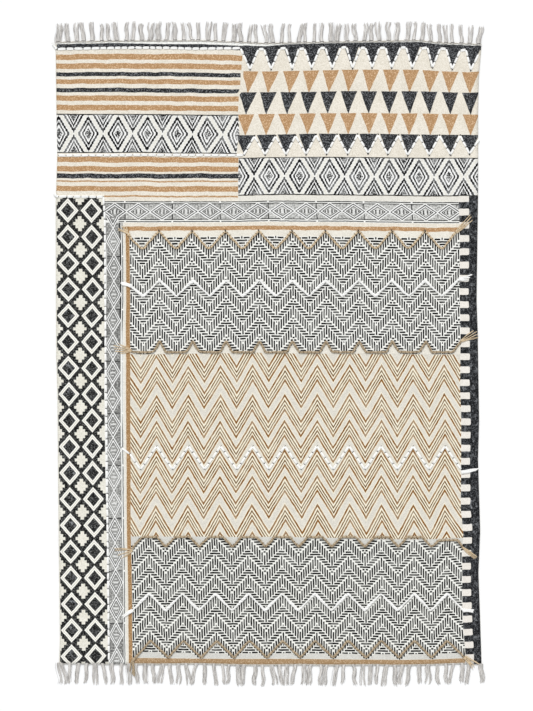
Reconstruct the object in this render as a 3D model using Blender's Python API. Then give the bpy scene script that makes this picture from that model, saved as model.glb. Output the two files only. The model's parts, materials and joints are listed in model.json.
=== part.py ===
"""A block-printed cotton dhurrie rug with stitched yarns and knotted fringes.

The rug lies flat with its length along Y and its printed face up. Sizes are in
metres. The whole rug is centred over the origin, with its underside at z = 0.
"""

import math
import random
from collections import namedtuple

import bmesh
import bpy

MM = 0.001

# Driving dimensions
CLOTH_THICKNESS = 4.0 * MM
PIECE_GAP = 0.3 * MM

STRIP_DEPTH = 4.5 * MM
STRIP_HEIGHT = 3.6 * MM
LOCK_TIP_HEIGHT = 2.4 * MM
LOCK_ROOT_WIDTH = 8.0 * MM
LOCK_MIDDLE_WIDTH = 12.0 * MM
LOCK_TIP_WIDTH = 13.5 * MM
LOCK_CLEARANCE = 1.5 * MM
LOCK_LEAN = 7.0 * MM
LOCK_BOW = 2.2 * MM
LOCK_STEPS = 4

YARN_WIDTH = 5.2 * MM
YARN_HEIGHT = 3.0 * MM
YARN_BEVEL_STEPS = 1

# How far each long edge lies from the rug's centre line, at heights along the rug
Side = namedtuple("Side", "along out")
LEFT_SIDE = [
    Side(881, 601),
    Side(700, 599),
    Side(576, 596),
    Side(420, 601),
    Side(150, 600),
    Side(-20, 599),
    Side(-103, 596),
    Side(-450, 593),
    Side(-811, 589),
    Side(-877, 591),
]
RIGHT_SIDE = [
    Side(875, 603),
    Side(788, 596),
    Side(680, 594),
    Side(450, 594),
    Side(236, 591),
    Side(150, 590),
    Side(66, 593),
    Side(-188, 597),
    Side(-300, 594),
    Side(-500, 600),
    Side(-620, 595),
    Side(-754, 600),
    Side(-880, 604),
]

# How far each short edge lies from the rug's middle, at places across the rug
End = namedtuple("End", "across out")
TOP_END = [
    End(-601, 881),
    End(-475, 884),
    End(-362, 885),
    End(-192, 886),
    End(-79, 881),
    End(-8, 878),
    End(91, 880),
    End(218, 883),
    End(303, 884),
    End(427, 886),
    End(478, 880),
    End(532, 878),
    End(603, 875),
]
BOTTOM_END = [
    End(-591, 877),
    End(-461, 879),
    End(-306, 880),
    End(-192, 878),
    End(-93, 882),
    End(-8, 883),
    End(91, 881),
    End(175, 883),
    End(303, 881),
    End(351, 883),
    End(458, 881),
    End(560, 877),
    End(604, 880),
]

Fringe = namedtuple("Fringe", "name end_table side locks first last length seed")
FRINGES = [
    Fringe("fringe_top", TOP_END, 1, 52, -587, 594, 51, 11),
    Fringe("fringe_bottom", BOTTOM_END, -1, 51, -582, 594, 55, 23),
]

# A zigzag yarn turns at its low and high points, a pitch apart. flat is how much
# of the pitch runs level at the high points, dip the same at the low ones.
Zigzag = namedtuple("Zigzag", "first pitch turns low high flat dip")
Yarn = namedtuple("Yarn", "name colour head zigzag tail")
TAN = (0.52, 0.40, 0.25, 1.0)
WHITE = (0.86, 0.84, 0.80, 1.0)
YARNS = [
    Yarn(
        "yarn_upper_crest",
        TAN,
        [(-416, 361), (-397, 341), (-388, 322)],
        Zigzag(-355.7, 94.1, 10, 301, 347, 0.0, 0.0),
        [(536, 347), (580, 387)],
    ),
    Yarn(
        "yarn_upper_foot",
        TAN,
        [(-434, 21), (-388, 4)],
        Zigzag(-353.5, 94.1, 10, 1.5, 35, 0.0, 0.65),
        [(542, 35), (590, 48)],
    ),
    Yarn(
        "yarn_lower_crest",
        TAN,
        [(-446, -574), (-392, -560), (-377, -541)],
        Zigzag(-381.0, 93.8, 10, -546, -519, 0.45, 0.0),
        [(557, -527), (576, -560), (590, -574)],
    ),
    Yarn(
        "yarn_lower_foot",
        TAN,
        [(-381, -905), (-385, -878)],
        Zigzag(-376.0, 93.8, 11, -860, -812, 0.0, 0.0),
        [(575, -868), (592, -893)],
    ),
    Yarn(
        "yarn_upper_middle",
        WHITE,
        [(-415, 197), (-389, 195)],
        Zigzag(-352.9, 93.8, 10, 162, 207, 0.0, 0.0),
        [(538, 207), (580, 220)],
    ),
    Yarn(
        "yarn_chevron_middle",
        WHITE,
        [(-415, -266), (-391, -284)],
        Zigzag(-360.5, 90.7, 11, -328, -262, 0.0, 0.0),
        [(590, -325)],
    ),
    Yarn(
        "yarn_lower_middle",
        WHITE,
        [(-412, -743)],
        Zigzag(-383.0, 93.7, 11, -727, -679, 0.0, 0.0),
        [(581, -726)],
    ),
    Yarn(
        "yarn_top_arches",
        WHITE,
        [(-596, 861), (-340, 866), (-79, 860)],
        Zigzag(-51.5, 57.1, 12, 804, 865, 0.25, 0.0),
        [(593, 846)],
    ),
    Yarn(
        "yarn_band_points",
        WHITE,
        [(-593, 560), (-340, 562), (-90, 561)],
        Zigzag(-70.5, 58.5, 12, 559, 615, 0.08, 0.0),
        [(586, 590)],
    ),
    Yarn(
        "yarn_border_line",
        WHITE,
        [(-592, 444), (-468, 443), (-464, 380), (-462, 0), (-457, -440), (-452, -868)],
        None,
        [],
    ),
]

FABRIC_ROUGHNESS = 0.95
CREAM = (0.80, 0.75, 0.66, 1.0)
FRINGE_BEIGE = (0.62, 0.58, 0.54, 1.0)


def remove_scene_objects():
    for item in list(bpy.data.objects):
        bpy.data.objects.remove(item, do_unlink=True)


def new_collection(name):
    collection = bpy.data.collections.new(name)
    bpy.context.scene.collection.children.link(collection)
    return collection


def new_material(name, colour):
    material = bpy.data.materials.new(name)
    material.use_nodes = True
    shader = material.node_tree.nodes["Principled BSDF"]
    shader.inputs["Base Color"].default_value = colour
    shader.inputs["Roughness"].default_value = FABRIC_ROUGHNESS
    shader.inputs["Metallic"].default_value = 0.0
    return material


def table_value(table, place):
    """The second column of a table at a place in its first, both in millimetres."""
    rows = sorted(table)
    for low, high in zip(rows, rows[1:]):
        if place <= high[0]:
            share = (place - low[0]) / (high[0] - low[0])
            return low[1] + (high[1] - low[1]) * max(share, 0.0)
    return rows[-1][1]


def lock_plan(fringe):
    """Each lock's root, tip, length and bow, so that no two locks meet."""
    draw = random.Random(fringe.seed)
    pitch = (fringe.last - fringe.first) / (fringe.locks - 1)
    apart = (LOCK_TIP_WIDTH + LOCK_CLEARANCE) / MM
    plan = []
    tip_before = -math.inf
    for index in range(fringe.locks):
        root = fringe.first + pitch * index
        if 0 < index < fringe.locks - 1:
            root += draw.uniform(-0.09, 0.09) * pitch
        lean = draw.uniform(-1, 1) * LOCK_LEAN / MM
        tip = max(root + lean, tip_before + apart)
        length = fringe.length + draw.uniform(-3, 3)
        bow = draw.uniform(-1, 1) * LOCK_BOW / MM
        plan.append((root * MM, tip * MM, length * MM, bow * MM))
        tip_before = tip
    return plan


def end_stations(fringe):
    """Places across the rug where the cloth's end and its fringe strip share a corner."""
    stations = []
    for root, _, _, _ in lock_plan(fringe):
        stations.append(root - LOCK_ROOT_WIDTH / 2)
        stations.append(root + LOCK_ROOT_WIDTH / 2)
    return stations


def end_out(fringe, across):
    """How far the cloth reaches along Y at a place across the rug, with its sign."""
    return fringe.side * table_value(fringe.end_table, across / MM) * MM


def cloth_outline():
    top, bottom = FRINGES
    outline = [(-row.out * MM, row.along * MM) for row in reversed(LEFT_SIDE)]
    outline += [(across, end_out(top, across)) for across in end_stations(top)]
    outline += [(row.out * MM, row.along * MM) for row in RIGHT_SIDE]
    stations = reversed(end_stations(bottom))
    outline += [(across, end_out(bottom, across)) for across in stations]
    return outline


def make_cloth():
    outline = cloth_outline()
    curve = bpy.data.curves.new("rug_cloth", "CURVE")
    curve.dimensions = "2D"
    curve.fill_mode = "BOTH"
    curve.extrude = CLOTH_THICKNESS / 2
    spline = curve.splines.new("POLY")
    spline.points.add(len(outline) - 1)
    for point, (across, along) in zip(spline.points, outline):
        point.co = (across, along, 0.0, 1.0)
    spline.use_cyclic_u = True
    cloth = bpy.data.objects.new("rug_cloth", curve)
    cloth.location.z = CLOTH_THICKNESS / 2
    curve.materials.append(new_material("cream_cotton", CREAM))
    return cloth


def lock_width(share):
    """A lock widens quickly from its root and then slowly to its tip."""
    if share < 0.5:
        return LOCK_ROOT_WIDTH + (LOCK_MIDDLE_WIDTH - LOCK_ROOT_WIDTH) * share * 2
    spread = (share - 0.5) * 2
    return LOCK_MIDDLE_WIDTH + (LOCK_TIP_WIDTH - LOCK_MIDDLE_WIDTH) * spread


def plan_face(mesh, corners, side):
    """A face of the fringe's plan, facing up whichever end of the rug it is on."""
    mesh.faces.new(corners if side > 0 else list(reversed(corners)))


def add_lock(mesh, fringe, root_pair, lock):
    """Lays one lock's quads in plan, outward from its two points on the strip."""
    root, tip, length, bow = lock
    left, right = root_pair
    start = (left.co.y + right.co.y) / 2
    for step in range(1, LOCK_STEPS + 1):
        share = step / LOCK_STEPS
        centre = root + (tip - root) * share + bow * math.sin(math.pi * share)
        along = start + fringe.side * length * share
        half = lock_width(share) / 2
        next_left = mesh.verts.new((centre - half, along, share))
        next_right = mesh.verts.new((centre + half, along, share))
        plan_face(mesh, [left, right, next_right, next_left], fringe.side)
        left, right = next_left, next_right


def make_fringe(fringe):
    """A narrow strip along the cloth's end with its locks, each lying on the floor."""
    mesh = bmesh.new()
    near = fringe.side * PIECE_GAP
    far = fringe.side * (PIECE_GAP + STRIP_DEPTH)
    inner, outer = [], []
    for across in end_stations(fringe):
        edge = end_out(fringe, across)
        inner.append(mesh.verts.new((across, edge + near, 0.0)))
        outer.append(mesh.verts.new((across, edge + far, 0.0)))
    for index in range(len(inner) - 1):
        cell = [inner[index], inner[index + 1], outer[index + 1], outer[index]]
        plan_face(mesh, cell, fringe.side)
    for index, lock in enumerate(lock_plan(fringe)):
        add_lock(mesh, fringe, (outer[2 * index], outer[2 * index + 1]), lock)
    raise_plan(mesh)
    data = bpy.data.meshes.new(fringe.name)
    mesh.to_mesh(data)
    mesh.free()
    data.materials.append(new_material(fringe.name + "_cotton", FRINGE_BEIGE))
    return bpy.data.objects.new(fringe.name, data)


def raise_plan(mesh):
    """Turns the plan into a solid. Each point's z first says how far along its lock it is."""
    plan = list(mesh.faces)
    shares = {vert: vert.co.z for vert in mesh.verts}
    for vert in mesh.verts:
        vert.co.z = STRIP_HEIGHT + (LOCK_TIP_HEIGHT - STRIP_HEIGHT) * shares[vert]
    copy = bmesh.ops.duplicate(mesh, geom=list(mesh.verts) + list(mesh.edges) + plan)
    under = [item for item in copy["geom"] if isinstance(item, bmesh.types.BMFace)]
    for vert in {vert for face in under for vert in face.verts}:
        vert.co.z = 0.0
    bmesh.ops.reverse_faces(mesh, faces=under)
    rims = [edge for edge in mesh.edges if edge.is_boundary]
    bmesh.ops.bridge_loops(mesh, edges=rims)
    bmesh.ops.recalc_face_normals(mesh, faces=list(mesh.faces))


def zigzag_route(zigzag):
    route = []
    for turn in range(zigzag.turns):
        low = zigzag.first + zigzag.pitch * turn
        high = low + zigzag.pitch / 2
        half_dip = zigzag.pitch * zigzag.dip / 2
        half_flat = zigzag.pitch * zigzag.flat / 2
        route += level_turn(low, zigzag.low, half_dip)
        if turn < zigzag.turns - 1:
            route += level_turn(high, zigzag.high, half_flat)
    return route


def level_turn(across, along, half):
    """One turning point, or the two ends of its level stretch."""
    if half == 0:
        return [(across, along)]
    return [(across - half, along), (across + half, along)]


def make_yarn(yarn):
    """A flattened yarn that lies on the cloth along its route."""
    route = list(yarn.head)
    if yarn.zigzag:
        route += zigzag_route(yarn.zigzag)
    route += yarn.tail
    curve = bpy.data.curves.new(yarn.name, "CURVE")
    curve.dimensions = "3D"
    curve.bevel_depth = YARN_WIDTH / 2
    curve.bevel_resolution = YARN_BEVEL_STEPS
    curve.use_fill_caps = True
    spline = curve.splines.new("POLY")
    spline.points.add(len(route) - 1)
    for point, (across, along) in zip(spline.points, route):
        point.co = (across * MM, along * MM, 0.0, 1.0)
    curve.materials.append(new_material(yarn.name + "_cotton", yarn.colour))
    item = bpy.data.objects.new(yarn.name, curve)
    item.scale.z = YARN_HEIGHT / YARN_WIDTH
    item.location.z = CLOTH_THICKNESS + PIECE_GAP + YARN_HEIGHT / 2
    return item


def centre_over_origin(collection):
    """Hangs every piece on an empty that brings the rug's box over the origin."""
    bpy.context.view_layer.update()
    graph = bpy.context.evaluated_depsgraph_get()
    places = []
    for item in collection.objects:
        evaluated = item.evaluated_get(graph)
        mesh = evaluated.to_mesh()
        places += [evaluated.matrix_world @ vert.co for vert in mesh.vertices]
        evaluated.to_mesh_clear()
    holder = bpy.data.objects.new("rug_centre", None)
    holder.location.x = -(min(p.x for p in places) + max(p.x for p in places)) / 2
    holder.location.y = -(min(p.y for p in places) + max(p.y for p in places)) / 2
    for item in list(collection.objects):
        item.parent = holder
    collection.objects.link(holder)


def main():
    remove_scene_objects()
    collection = new_collection("dhurrie_rug")
    pieces = [make_cloth()]
    pieces += [make_fringe(fringe) for fringe in FRINGES]
    pieces += [make_yarn(yarn) for yarn in YARNS]
    for piece in pieces:
        collection.objects.link(piece)
    centre_over_origin(collection)


main()
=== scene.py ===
"""The looks of a block-printed cotton dhurrie rug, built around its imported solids.

The printed cloth is one sheet of fine cells. Its UV map named print holds the
drawing in metres, as the printer laid it out, while the cells themselves lie
where the hand printing and the stretched cloth brought them. Every panel of
the drawing is a material that works out its motif by formula.
"""

import json
import math
import random
from collections import namedtuple

import bmesh
import bpy
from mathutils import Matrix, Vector, noise

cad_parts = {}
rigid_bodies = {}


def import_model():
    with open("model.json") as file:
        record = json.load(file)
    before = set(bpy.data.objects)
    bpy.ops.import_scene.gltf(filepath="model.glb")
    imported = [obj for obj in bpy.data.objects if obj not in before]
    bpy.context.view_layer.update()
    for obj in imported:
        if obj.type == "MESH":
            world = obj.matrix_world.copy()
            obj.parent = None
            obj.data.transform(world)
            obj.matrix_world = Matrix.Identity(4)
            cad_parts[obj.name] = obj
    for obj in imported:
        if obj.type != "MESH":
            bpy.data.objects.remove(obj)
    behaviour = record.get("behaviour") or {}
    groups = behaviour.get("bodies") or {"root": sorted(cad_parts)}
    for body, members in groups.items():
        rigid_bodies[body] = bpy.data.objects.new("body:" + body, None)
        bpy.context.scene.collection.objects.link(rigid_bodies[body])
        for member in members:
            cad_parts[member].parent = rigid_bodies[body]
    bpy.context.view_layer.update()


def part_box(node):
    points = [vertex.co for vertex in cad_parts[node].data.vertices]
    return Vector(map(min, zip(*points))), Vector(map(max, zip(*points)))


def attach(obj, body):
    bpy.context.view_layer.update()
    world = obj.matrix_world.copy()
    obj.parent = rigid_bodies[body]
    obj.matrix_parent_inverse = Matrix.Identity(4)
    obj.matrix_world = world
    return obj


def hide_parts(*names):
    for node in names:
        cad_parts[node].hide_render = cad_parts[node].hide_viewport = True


MM = 0.001
METRE_IN_MM = 1000.0

# Sizes shared with the solids, in millimetres
CLOTH_THICKNESS = 4.0
LOCK_TIP_WIDTH = 13.5
LOCK_CLEARANCE = 1.5
LOCK_LEAN = 7.0
LOCK_BOW = 2.2
LOCK_ROOT_WIDTH = 8.0
LOCK_UNEVEN = 0.09
LOCK_RAGGED = 3

# How far each long edge lies from the rug's centre line, at heights along the rug
Side = namedtuple("Side", "along out")
LEFT_SIDE = [
    Side(881, 601),
    Side(700, 599),
    Side(576, 596),
    Side(420, 601),
    Side(150, 600),
    Side(-20, 599),
    Side(-103, 596),
    Side(-450, 593),
    Side(-811, 589),
    Side(-877, 591),
]
RIGHT_SIDE = [
    Side(875, 603),
    Side(788, 596),
    Side(680, 594),
    Side(450, 594),
    Side(236, 591),
    Side(150, 590),
    Side(66, 593),
    Side(-188, 597),
    Side(-300, 594),
    Side(-500, 600),
    Side(-620, 595),
    Side(-754, 600),
    Side(-880, 604),
]

# How far each short edge lies from the rug's middle, at places across the rug
End = namedtuple("End", "across out")
TOP_END = [
    End(-601, 881),
    End(-475, 884),
    End(-362, 885),
    End(-192, 886),
    End(-79, 881),
    End(-8, 878),
    End(91, 880),
    End(218, 883),
    End(303, 884),
    End(427, 886),
    End(478, 880),
    End(532, 878),
    End(603, 875),
]
BOTTOM_END = [
    End(-591, 877),
    End(-461, 879),
    End(-306, 880),
    End(-192, 878),
    End(-93, 882),
    End(-8, 883),
    End(91, 881),
    End(175, 883),
    End(303, 881),
    End(351, 883),
    End(458, 881),
    End(560, 877),
    End(604, 880),
]

# The wide lock at a corner: how far its root and then its tip lie off their plain places
Corner = namedtuple("Corner", "shift lean fullness")
Fringe = namedtuple(
    "Fringe", "name solid end_table side locks first last length seed left_corner right_corner"
)
FRINGES = [
    Fringe("top_fringe_locks", "fringe_top", TOP_END, 1, 52, -587, 594, 51, 11,
           Corner(-7.0, 5.0, 1.7), Corner(2.0, 2.0, 1.3)),
    Fringe("bottom_fringe_locks", "fringe_bottom", BOTTOM_END, -1, 51, -582, 594, 55, 23,
           Corner(-7.0, 5.0, 1.7), Corner(8.0, 8.0, 1.4)),
]

# The drawing's own lines, in millimetres across and along the rug
PRINT_LEFT = -601.0
PRINT_RIGHT = 594.0
PRINT_TOP = 884.0
PRINT_BOTTOM = -880.0
BORDER_LINE = -462.0
LOZENGE_INSIDE = -405.0
FRAME_INSIDE = -391.4
HEAD_SPLIT = -81.2
COMB_LEFT = 541.7
DIAMONDS_TOP = 678.5
DIAMONDS_BOTTOM = 567.0
HEAD_RIGHT_BASE = 556.0
HEAD_FOOT = 447.8
STEPS_TOP = 443.0
LOZENGES_TOP = 431.5
LOZENGES_BOTTOM = 371.0
FIELD_TOP = 346.7
CHEVRONS_TOP = 1.4
CHEVRONS_BOTTOM = -519.0
FIELD_BOTTOM = -862.5

# How far the drawing's upright lines have moved to the right, at heights along the rug
Drift = namedtuple("Drift", "along border frame split comb")
DRIFTS = [
    Drift(884, 1.5, 2.5, 10, 9),
    Drift(838, 2, 3.5, 12, 6),
    Drift(800, 2, 3.5, 9.5, 1),
    Drift(745, 2, 3, 7.5, -1),
    Drift(735, 2, 2.5, -2, 0),
    Drift(681, 2, 2, -4.4, 1),
    Drift(621, 2, 1.5, 1, 1),
    Drift(612, 2, 1, -2.5, 1),
    Drift(568, 2, 0.5, -6.5, 1.5),
    Drift(556, 2, 1, 0, 0),
    Drift(430, 0, 0, 0, -1.6),
    Drift(310, 0.5, 0.2, 0.5, 1.0),
    Drift(240, 0.8, 0.3, 0.8, -0.6),
    Drift(151, 1.2, 0.4, 1.2, 0.6),
    Drift(-131, 1.2, 1.4, 3.6, 4.5),
    Drift(-415, 4.2, 4.1, 6.1, 7.4),
    Drift(-698, 9, 6.5, 7.7, 10.2),
    Drift(-880, 11, 8, 10.4, 15.5),
]
# How far its level lines have sunk, at places across the rug
Sag = namedtuple("Sag", "across head foot bottom")
SAGS = [
    Sag(-601, 0, 0, 0),
    Sag(-362, 0, 0, 1.0),
    Sag(-80, 0, 0, 0),
    Sag(0, 0, 1.6, 0.6),
    Sag(250, -1.2, 0.2, -1.8),
    Sag(374, -1.9, -0.8, -3.2),
    Sag(458, -2.3, -1.5, -1.6),
    Sag(540, -2.8, -2.2, 1.6),
    Sag(594, -3.0, -2.6, 1.6),
]
# How far the cloth was pulled, to the right and along, at these places across it.
# Most of these numbers were printed by a measuring script that compared a render with
# the photo. They weren't chosen by hand.
PULL_PLACES = (-601, -534, -438, -362, -192, -51, 91, 260, 458, 563, 594)
Pull = namedtuple("Pull", "along right up")
STILL = (0,) * len(PULL_PLACES)
PULLS = [
    Pull(884, STILL, STILL),
    Pull(831, (0, 0, 0, 0, 0, 1.4, 3.7, 2.3, 1.7, 0, 0),
         (0, 0, 0, -0.8, -2.3, -3.4, -1.7, 0, -1.7, -3.4, 0)),
    Pull(717, (0, 0, 0, 0, 0, 3.4, 4, 1.1, 0.8, 0, 0),
         (0, 0.8, 0.8, 0.6, -2.5, -2.8, -0.8, 2, 2, -0.6, 0)),
    Pull(649, (0, 0, -1.1, -2, -1.7, 0.3, 4.8, 2.3, 3.1, 0, 0),
         (0, -1.7, -0.8, -1.4, -3.4, -3.1, 1.1, 2.8, 0.8, 1.1, 0)),
    Pull(582, (0, 0, -0.8, -2.3, -1.1, -0.6, 0.6, 0, -1.7, -1.1, 0),
         (0, 0, -0.3, 0.6, -2, -3.7, 0.6, 1.7, -0.6, 0, 0)),
    Pull(514, (0, 0, 0, 0, 0, -2.8, -0.3, 0.3, -1.1, -1.4, 0),
         (0, 0, -0.6, -0.3, 0, -2, 0, -1.1, -1.1, 0.6, 0)),
    Pull(446, (0, 0, -2, -2.5, -2.5, -2.8, -2, -2.3, -1.4, -1.1, 0),
         (0, 0.8, 0, 0, -0.6, -0.3, 0, -0.3, -1.1, 0, 0)),
    Pull(378, (0, 0, -0.8, -2.5, -3.1, -2, 1.7, 0, 1.1, -0.3, 0),
         (0, 0.3, -0.8, -0.6, 0.3, 0.8, -0.6, 0, -2, -0.6, 0)),
    Pull(276, (0, 2.8, 2.2, -1.7, -2.3, 0, 1.4, 2.8, 2.3, 0, 0),
         (0, -0.3, -0.8, -3.1, -0.8, 0.8, -0.3, -1.7, -2.3, -1.4, 0)),
    Pull(174, (0, 2.3, 1.9, 1.1, 0.3, 0.3, 2.5, 2.5, 1.7, -0.3, 0),
         (0, -0.3, -2.5, -4.5, -1.1, 2.3, 0.3, -2, -2.8, -3.4, 0)),
    Pull(72, (0, 0, -1.1, 1.1, -0.3, -0.3, 2, 2.3, 1.7, 0.3, 0),
         (0, -0.6, -0.6, -5.7, 0, 1.1, 0, -0.8, -1.7, -2.5, 0)),
    Pull(-30, (0, 0.3, -2, 2.3, 0.3, 1.1, 3.4, 4.8, 1.4, -1.1, 0),
         (0, -0.3, 0, -2.8, -0.8, 2, -1.4, 0.3, -1.1, -1.7, 0)),
    Pull(-98, (0, -0.6, -2.8, 3.5, 0.8, 1.1, 2.5, 3.1, 1.7, -3.8, 0),
         (0, 0, 0.8, 0, 0.8, 0.8, -0.6, 1.1, -0.3, -1.4, 0)),
    Pull(-166, (0, -0.6, -1.7, 1.8, -0.8, -1.7, 1.1, 3.7, 2.3, -0.3, 0),
         (0, 0, 0, 1.1, 0.8, -0.6, -0.3, -0.6, 0.6, 0, 0)),
    Pull(-267, (0, -0.6, -2, 0.4, -2.8, -2.5, -0.6, 0.6, 0.3, -0.8, 0),
         (0, -0.6, 2.5, 3.1, 0, -0.3, 0.6, 0.8, 0, -0.6, 0)),
    Pull(-369, (0, 0, -1.7, -1.5, -3.1, -2.8, -0.8, 0, -0.8, -3.2, 0),
         (0, -0.3, 0, 0, 0, -0.6, 0, 0.6, -1.4, -2, 0)),
    Pull(-437, (0, 1.1, -0.6, -2.1, -5.4, -4.8, 0, 0, -1.1, -4.4, 0),
         (0, -0.3, 0.8, 2.8, 3.1, 2.3, 2.3, 1.7, -1.1, -2.3, 0)),
    Pull(-505, (0, 0.3, 0, -2.5, -4.8, -4.5, 1.4, 2, 1.4, 3.2, 0),
         (0, -0.3, 0.6, 0.8, 0.6, -0.8, -0.6, -3.7, -5.1, -3.7, 0)),
    Pull(-573, (0, 0, 0, -0.3, -0.6, -2, 0.6, 1.4, 0, -2, 0),
         (0, -0.3, 0, 1.4, -0.3, -0.6, -2.5, -2, -4, -0.6, 0)),
    Pull(-675, (0, 0.6, 0.3, 0, -0.3, -1.4, 3.1, 2.8, -0.6, -2.2, 0),
         (0, -0.8, -0.6, 1.7, -0.3, -0.3, -0.3, -0.6, -3.1, -2, 0)),
    Pull(-777, (0, 0.6, 0.3, 0.3, 0, -0.6, 3.1, 2.5, 0, -1.6, 0),
         (0, 0, 0.3, 2.8, -0.8, -0.8, 1.1, 0.8, -1.7, -2.8, 0)),
    Pull(-845, (0, 0.6, 1.4, 0.3, 0.6, 0.6, 2.8, 1.7, -0.3, 2.8, 0),
         (0, 0.3, 2.3, 2.8, -0.8, -1.7, -0.6, -1.1, -0.6, -0.8, 0)),
    Pull(-880, STILL, STILL),
]
SAG_HEAD = 740.0
SAG_FOOT = 400.0
SAG_BOTTOM = -867.0

# Beyond this reach of the split its drift is evened out over this span, from so many
# samples each way
SPLIT_REACH = 16.0
SPLIT_SPAN = 40.0
SPLIT_SAMPLES = 4

# How far the lines waver and how high the cloth ripples, in millimetres, over what
# reach, and the layers of noise that each is cut from
WAVER = 1.0
WAVER_REACH = 110.0
WAVER_EDGE = 26.0
WAVER_LAYER_X = 0.3
WAVER_LAYER_Y = 7.7
RIPPLE = 0.9
RIPPLE_REACH = 230.0
RIPPLE_LAYER = 2.5

# The cloth's cells, which faces of it look up, and its underside's share of the map
# that a bake uses
CELL_SIZE = 12.0
UPWARD = 0.5
BAKE_SLIVER = 0.04
SLIVER_FILL = 0.9


def table_value(table, place, column=1):
    """A column of a table at a place in its first, between its rows in a straight line."""
    rows = sorted(table)
    if place <= rows[0][0]:
        return rows[0][column]
    for low, high in zip(rows, rows[1:]):
        if place <= high[0]:
            share = (place - low[0]) / (high[0] - low[0])
            return low[column] + (high[column] - low[column]) * share
    return rows[-1][column]


def srgb(red, green, blue):
    """A colour as a screen shows it, as the linear colour that a shader wants."""
    shown = [channel / 255 for channel in (red, green, blue)]
    linear = [c / 12.92 if c <= 0.04045 else ((c + 0.055) / 1.055) ** 2.4 for c in shown]
    return (*linear, 1.0)


# An ink's own colour, and that of the specks where the cloth's bumps took less of it
Ink = namedtuple("Ink", "full speck")
BLACK_INK = Ink(srgb(20, 21, 23), srgb(94, 96, 99))
HEAD_BLACK = Ink(srgb(34, 35, 37), srgb(134, 136, 139))
STEP_INK = Ink(srgb(17, 17, 17), srgb(116, 116, 114))
WORN_INK = Ink(srgb(112, 114, 117), srgb(168, 170, 172))
FINE_INK = Ink(srgb(4, 4, 5), srgb(34, 34, 34))
HATCH_INK = Ink(srgb(12, 12, 13), srgb(12, 12, 13))
TAN_INK = Ink(srgb(182, 141, 99), srgb(230, 197, 160))
DEEP_TAN_INK = Ink(srgb(165, 127, 84), srgb(209, 177, 138))
FOOT_TAN_INK = Ink(srgb(168, 137, 101), srgb(212, 186, 154))
RUST_INK = Ink(srgb(130, 84, 34), srgb(170, 124, 66))
UMBER_INK = Ink(srgb(108, 78, 42), srgb(148, 116, 74))
GREY_INK = Ink(srgb(164, 158, 144), srgb(186, 180, 168))
WHITE_INK = Ink(srgb(255, 255, 253), srgb(250, 249, 245))
FIELD_INK = Ink(srgb(255, 255, 249), srgb(250, 248, 240))
FOOT_FIELD_INK = Ink(srgb(250, 250, 243), srgb(242, 241, 233))
RING_INK = Ink(srgb(251, 249, 241), srgb(234, 231, 222))
HEM_INK = Ink(srgb(250, 250, 246), srgb(214, 213, 208))
SET_INK = Ink(srgb(255, 248, 226), srgb(252, 239, 210))
CREAM_INK = Ink(srgb(249, 242, 229), srgb(226, 218, 202))
STRIP_INK = Ink(srgb(240, 236, 226), srgb(221, 218, 208))

# The two colours between which plain cloth or a yarn varies
Tone = namedtuple("Tone", "light dark")
CREAM = Tone(*CREAM_INK)
COOL_CREAM = Tone(srgb(255, 255, 251), srgb(241, 240, 234))
STEP_CREAM = Tone(srgb(245, 242, 231), srgb(226, 222, 208))
COMB_CREAM = Tone(srgb(250, 244, 236), srgb(232, 227, 217))
PALE_CREAM = Tone(srgb(248, 246, 238), srgb(232, 229, 219))
GREY_CREAM = Tone(srgb(235, 230, 219), srgb(217, 212, 200))
FOOT_CREAM = Tone(srgb(227, 226, 219), srgb(210, 208, 201))
HEAD_CREAM = Tone(srgb(248, 243, 231), srgb(230, 225, 212))
BACK_CREAM = Tone(srgb(226, 218, 202), srgb(206, 198, 182))
WARP_GREY = Tone(srgb(244, 241, 237), srgb(204, 200, 195))
# The fringe's outer strands and hairs: painted shade, darker than the rest of the warp
WARP_PAINTED_SHADE = Tone(srgb(220, 216, 212), srgb(170, 166, 162))
HEM_CREAM = Tone(srgb(226, 220, 208), srgb(168, 162, 152))
JUTE_TAN = Tone(srgb(236, 219, 190), srgb(196, 170, 134))
JUTE_BROWN = Tone(srgb(210, 192, 164), srgb(152, 133, 106))
TWINE_BROWN = Tone(srgb(132, 108, 80), srgb(78, 62, 46))
# A painted shadow: the dark grey of the turns at the top fringe's lock roots
KNOT_PAINTED_SHADOW = Tone(srgb(132, 128, 124), srgb(86, 83, 80))
YARN_WHITE = Tone(srgb(255, 255, 254), srgb(250, 249, 245))
THREAD_GREY = Tone(srgb(84, 80, 76), srgb(40, 38, 36))


class Amount:
    """A number in a material's node tree, so that a motif is written as a formula."""

    def __init__(self, tree, socket):
        self.tree = tree
        self.socket = socket

    def __add__(self, other):
        return reckon("ADD", self, other)

    def __radd__(self, other):
        return reckon("ADD", other, self)

    def __sub__(self, other):
        return reckon("SUBTRACT", self, other)

    def __rsub__(self, other):
        return reckon("SUBTRACT", other, self)

    def __mul__(self, other):
        return reckon("MULTIPLY", self, other)

    def __truediv__(self, other):
        return reckon("DIVIDE", self, other)

    def __abs__(self):
        return reckon("ABSOLUTE", self)


def feed(slot, term):
    """Gives a node's input an amount, or a fixed value."""
    if isinstance(term, Amount):
        term.tree.links.new(term.socket, slot)
    else:
        slot.default_value = term


def tree_of(*terms):
    """The node tree of the first amount among the terms."""
    return next(term.tree for term in terms if isinstance(term, Amount))


def reckon(operation, *terms):
    """One Math node with these terms, which are numbers or amounts."""
    tree = tree_of(*terms)
    node = tree.nodes.new("ShaderNodeMath")
    node.operation = operation
    for slot, term in zip(node.inputs, terms):
        feed(slot, term)
    return Amount(tree, node.outputs[0])


def whole(value):
    return reckon("FLOOR", value)


def both(*masks):
    """The least of the masks."""
    result = masks[0]
    for mask in masks[1:]:
        result = reckon("MINIMUM", result, mask)
    return result


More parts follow.
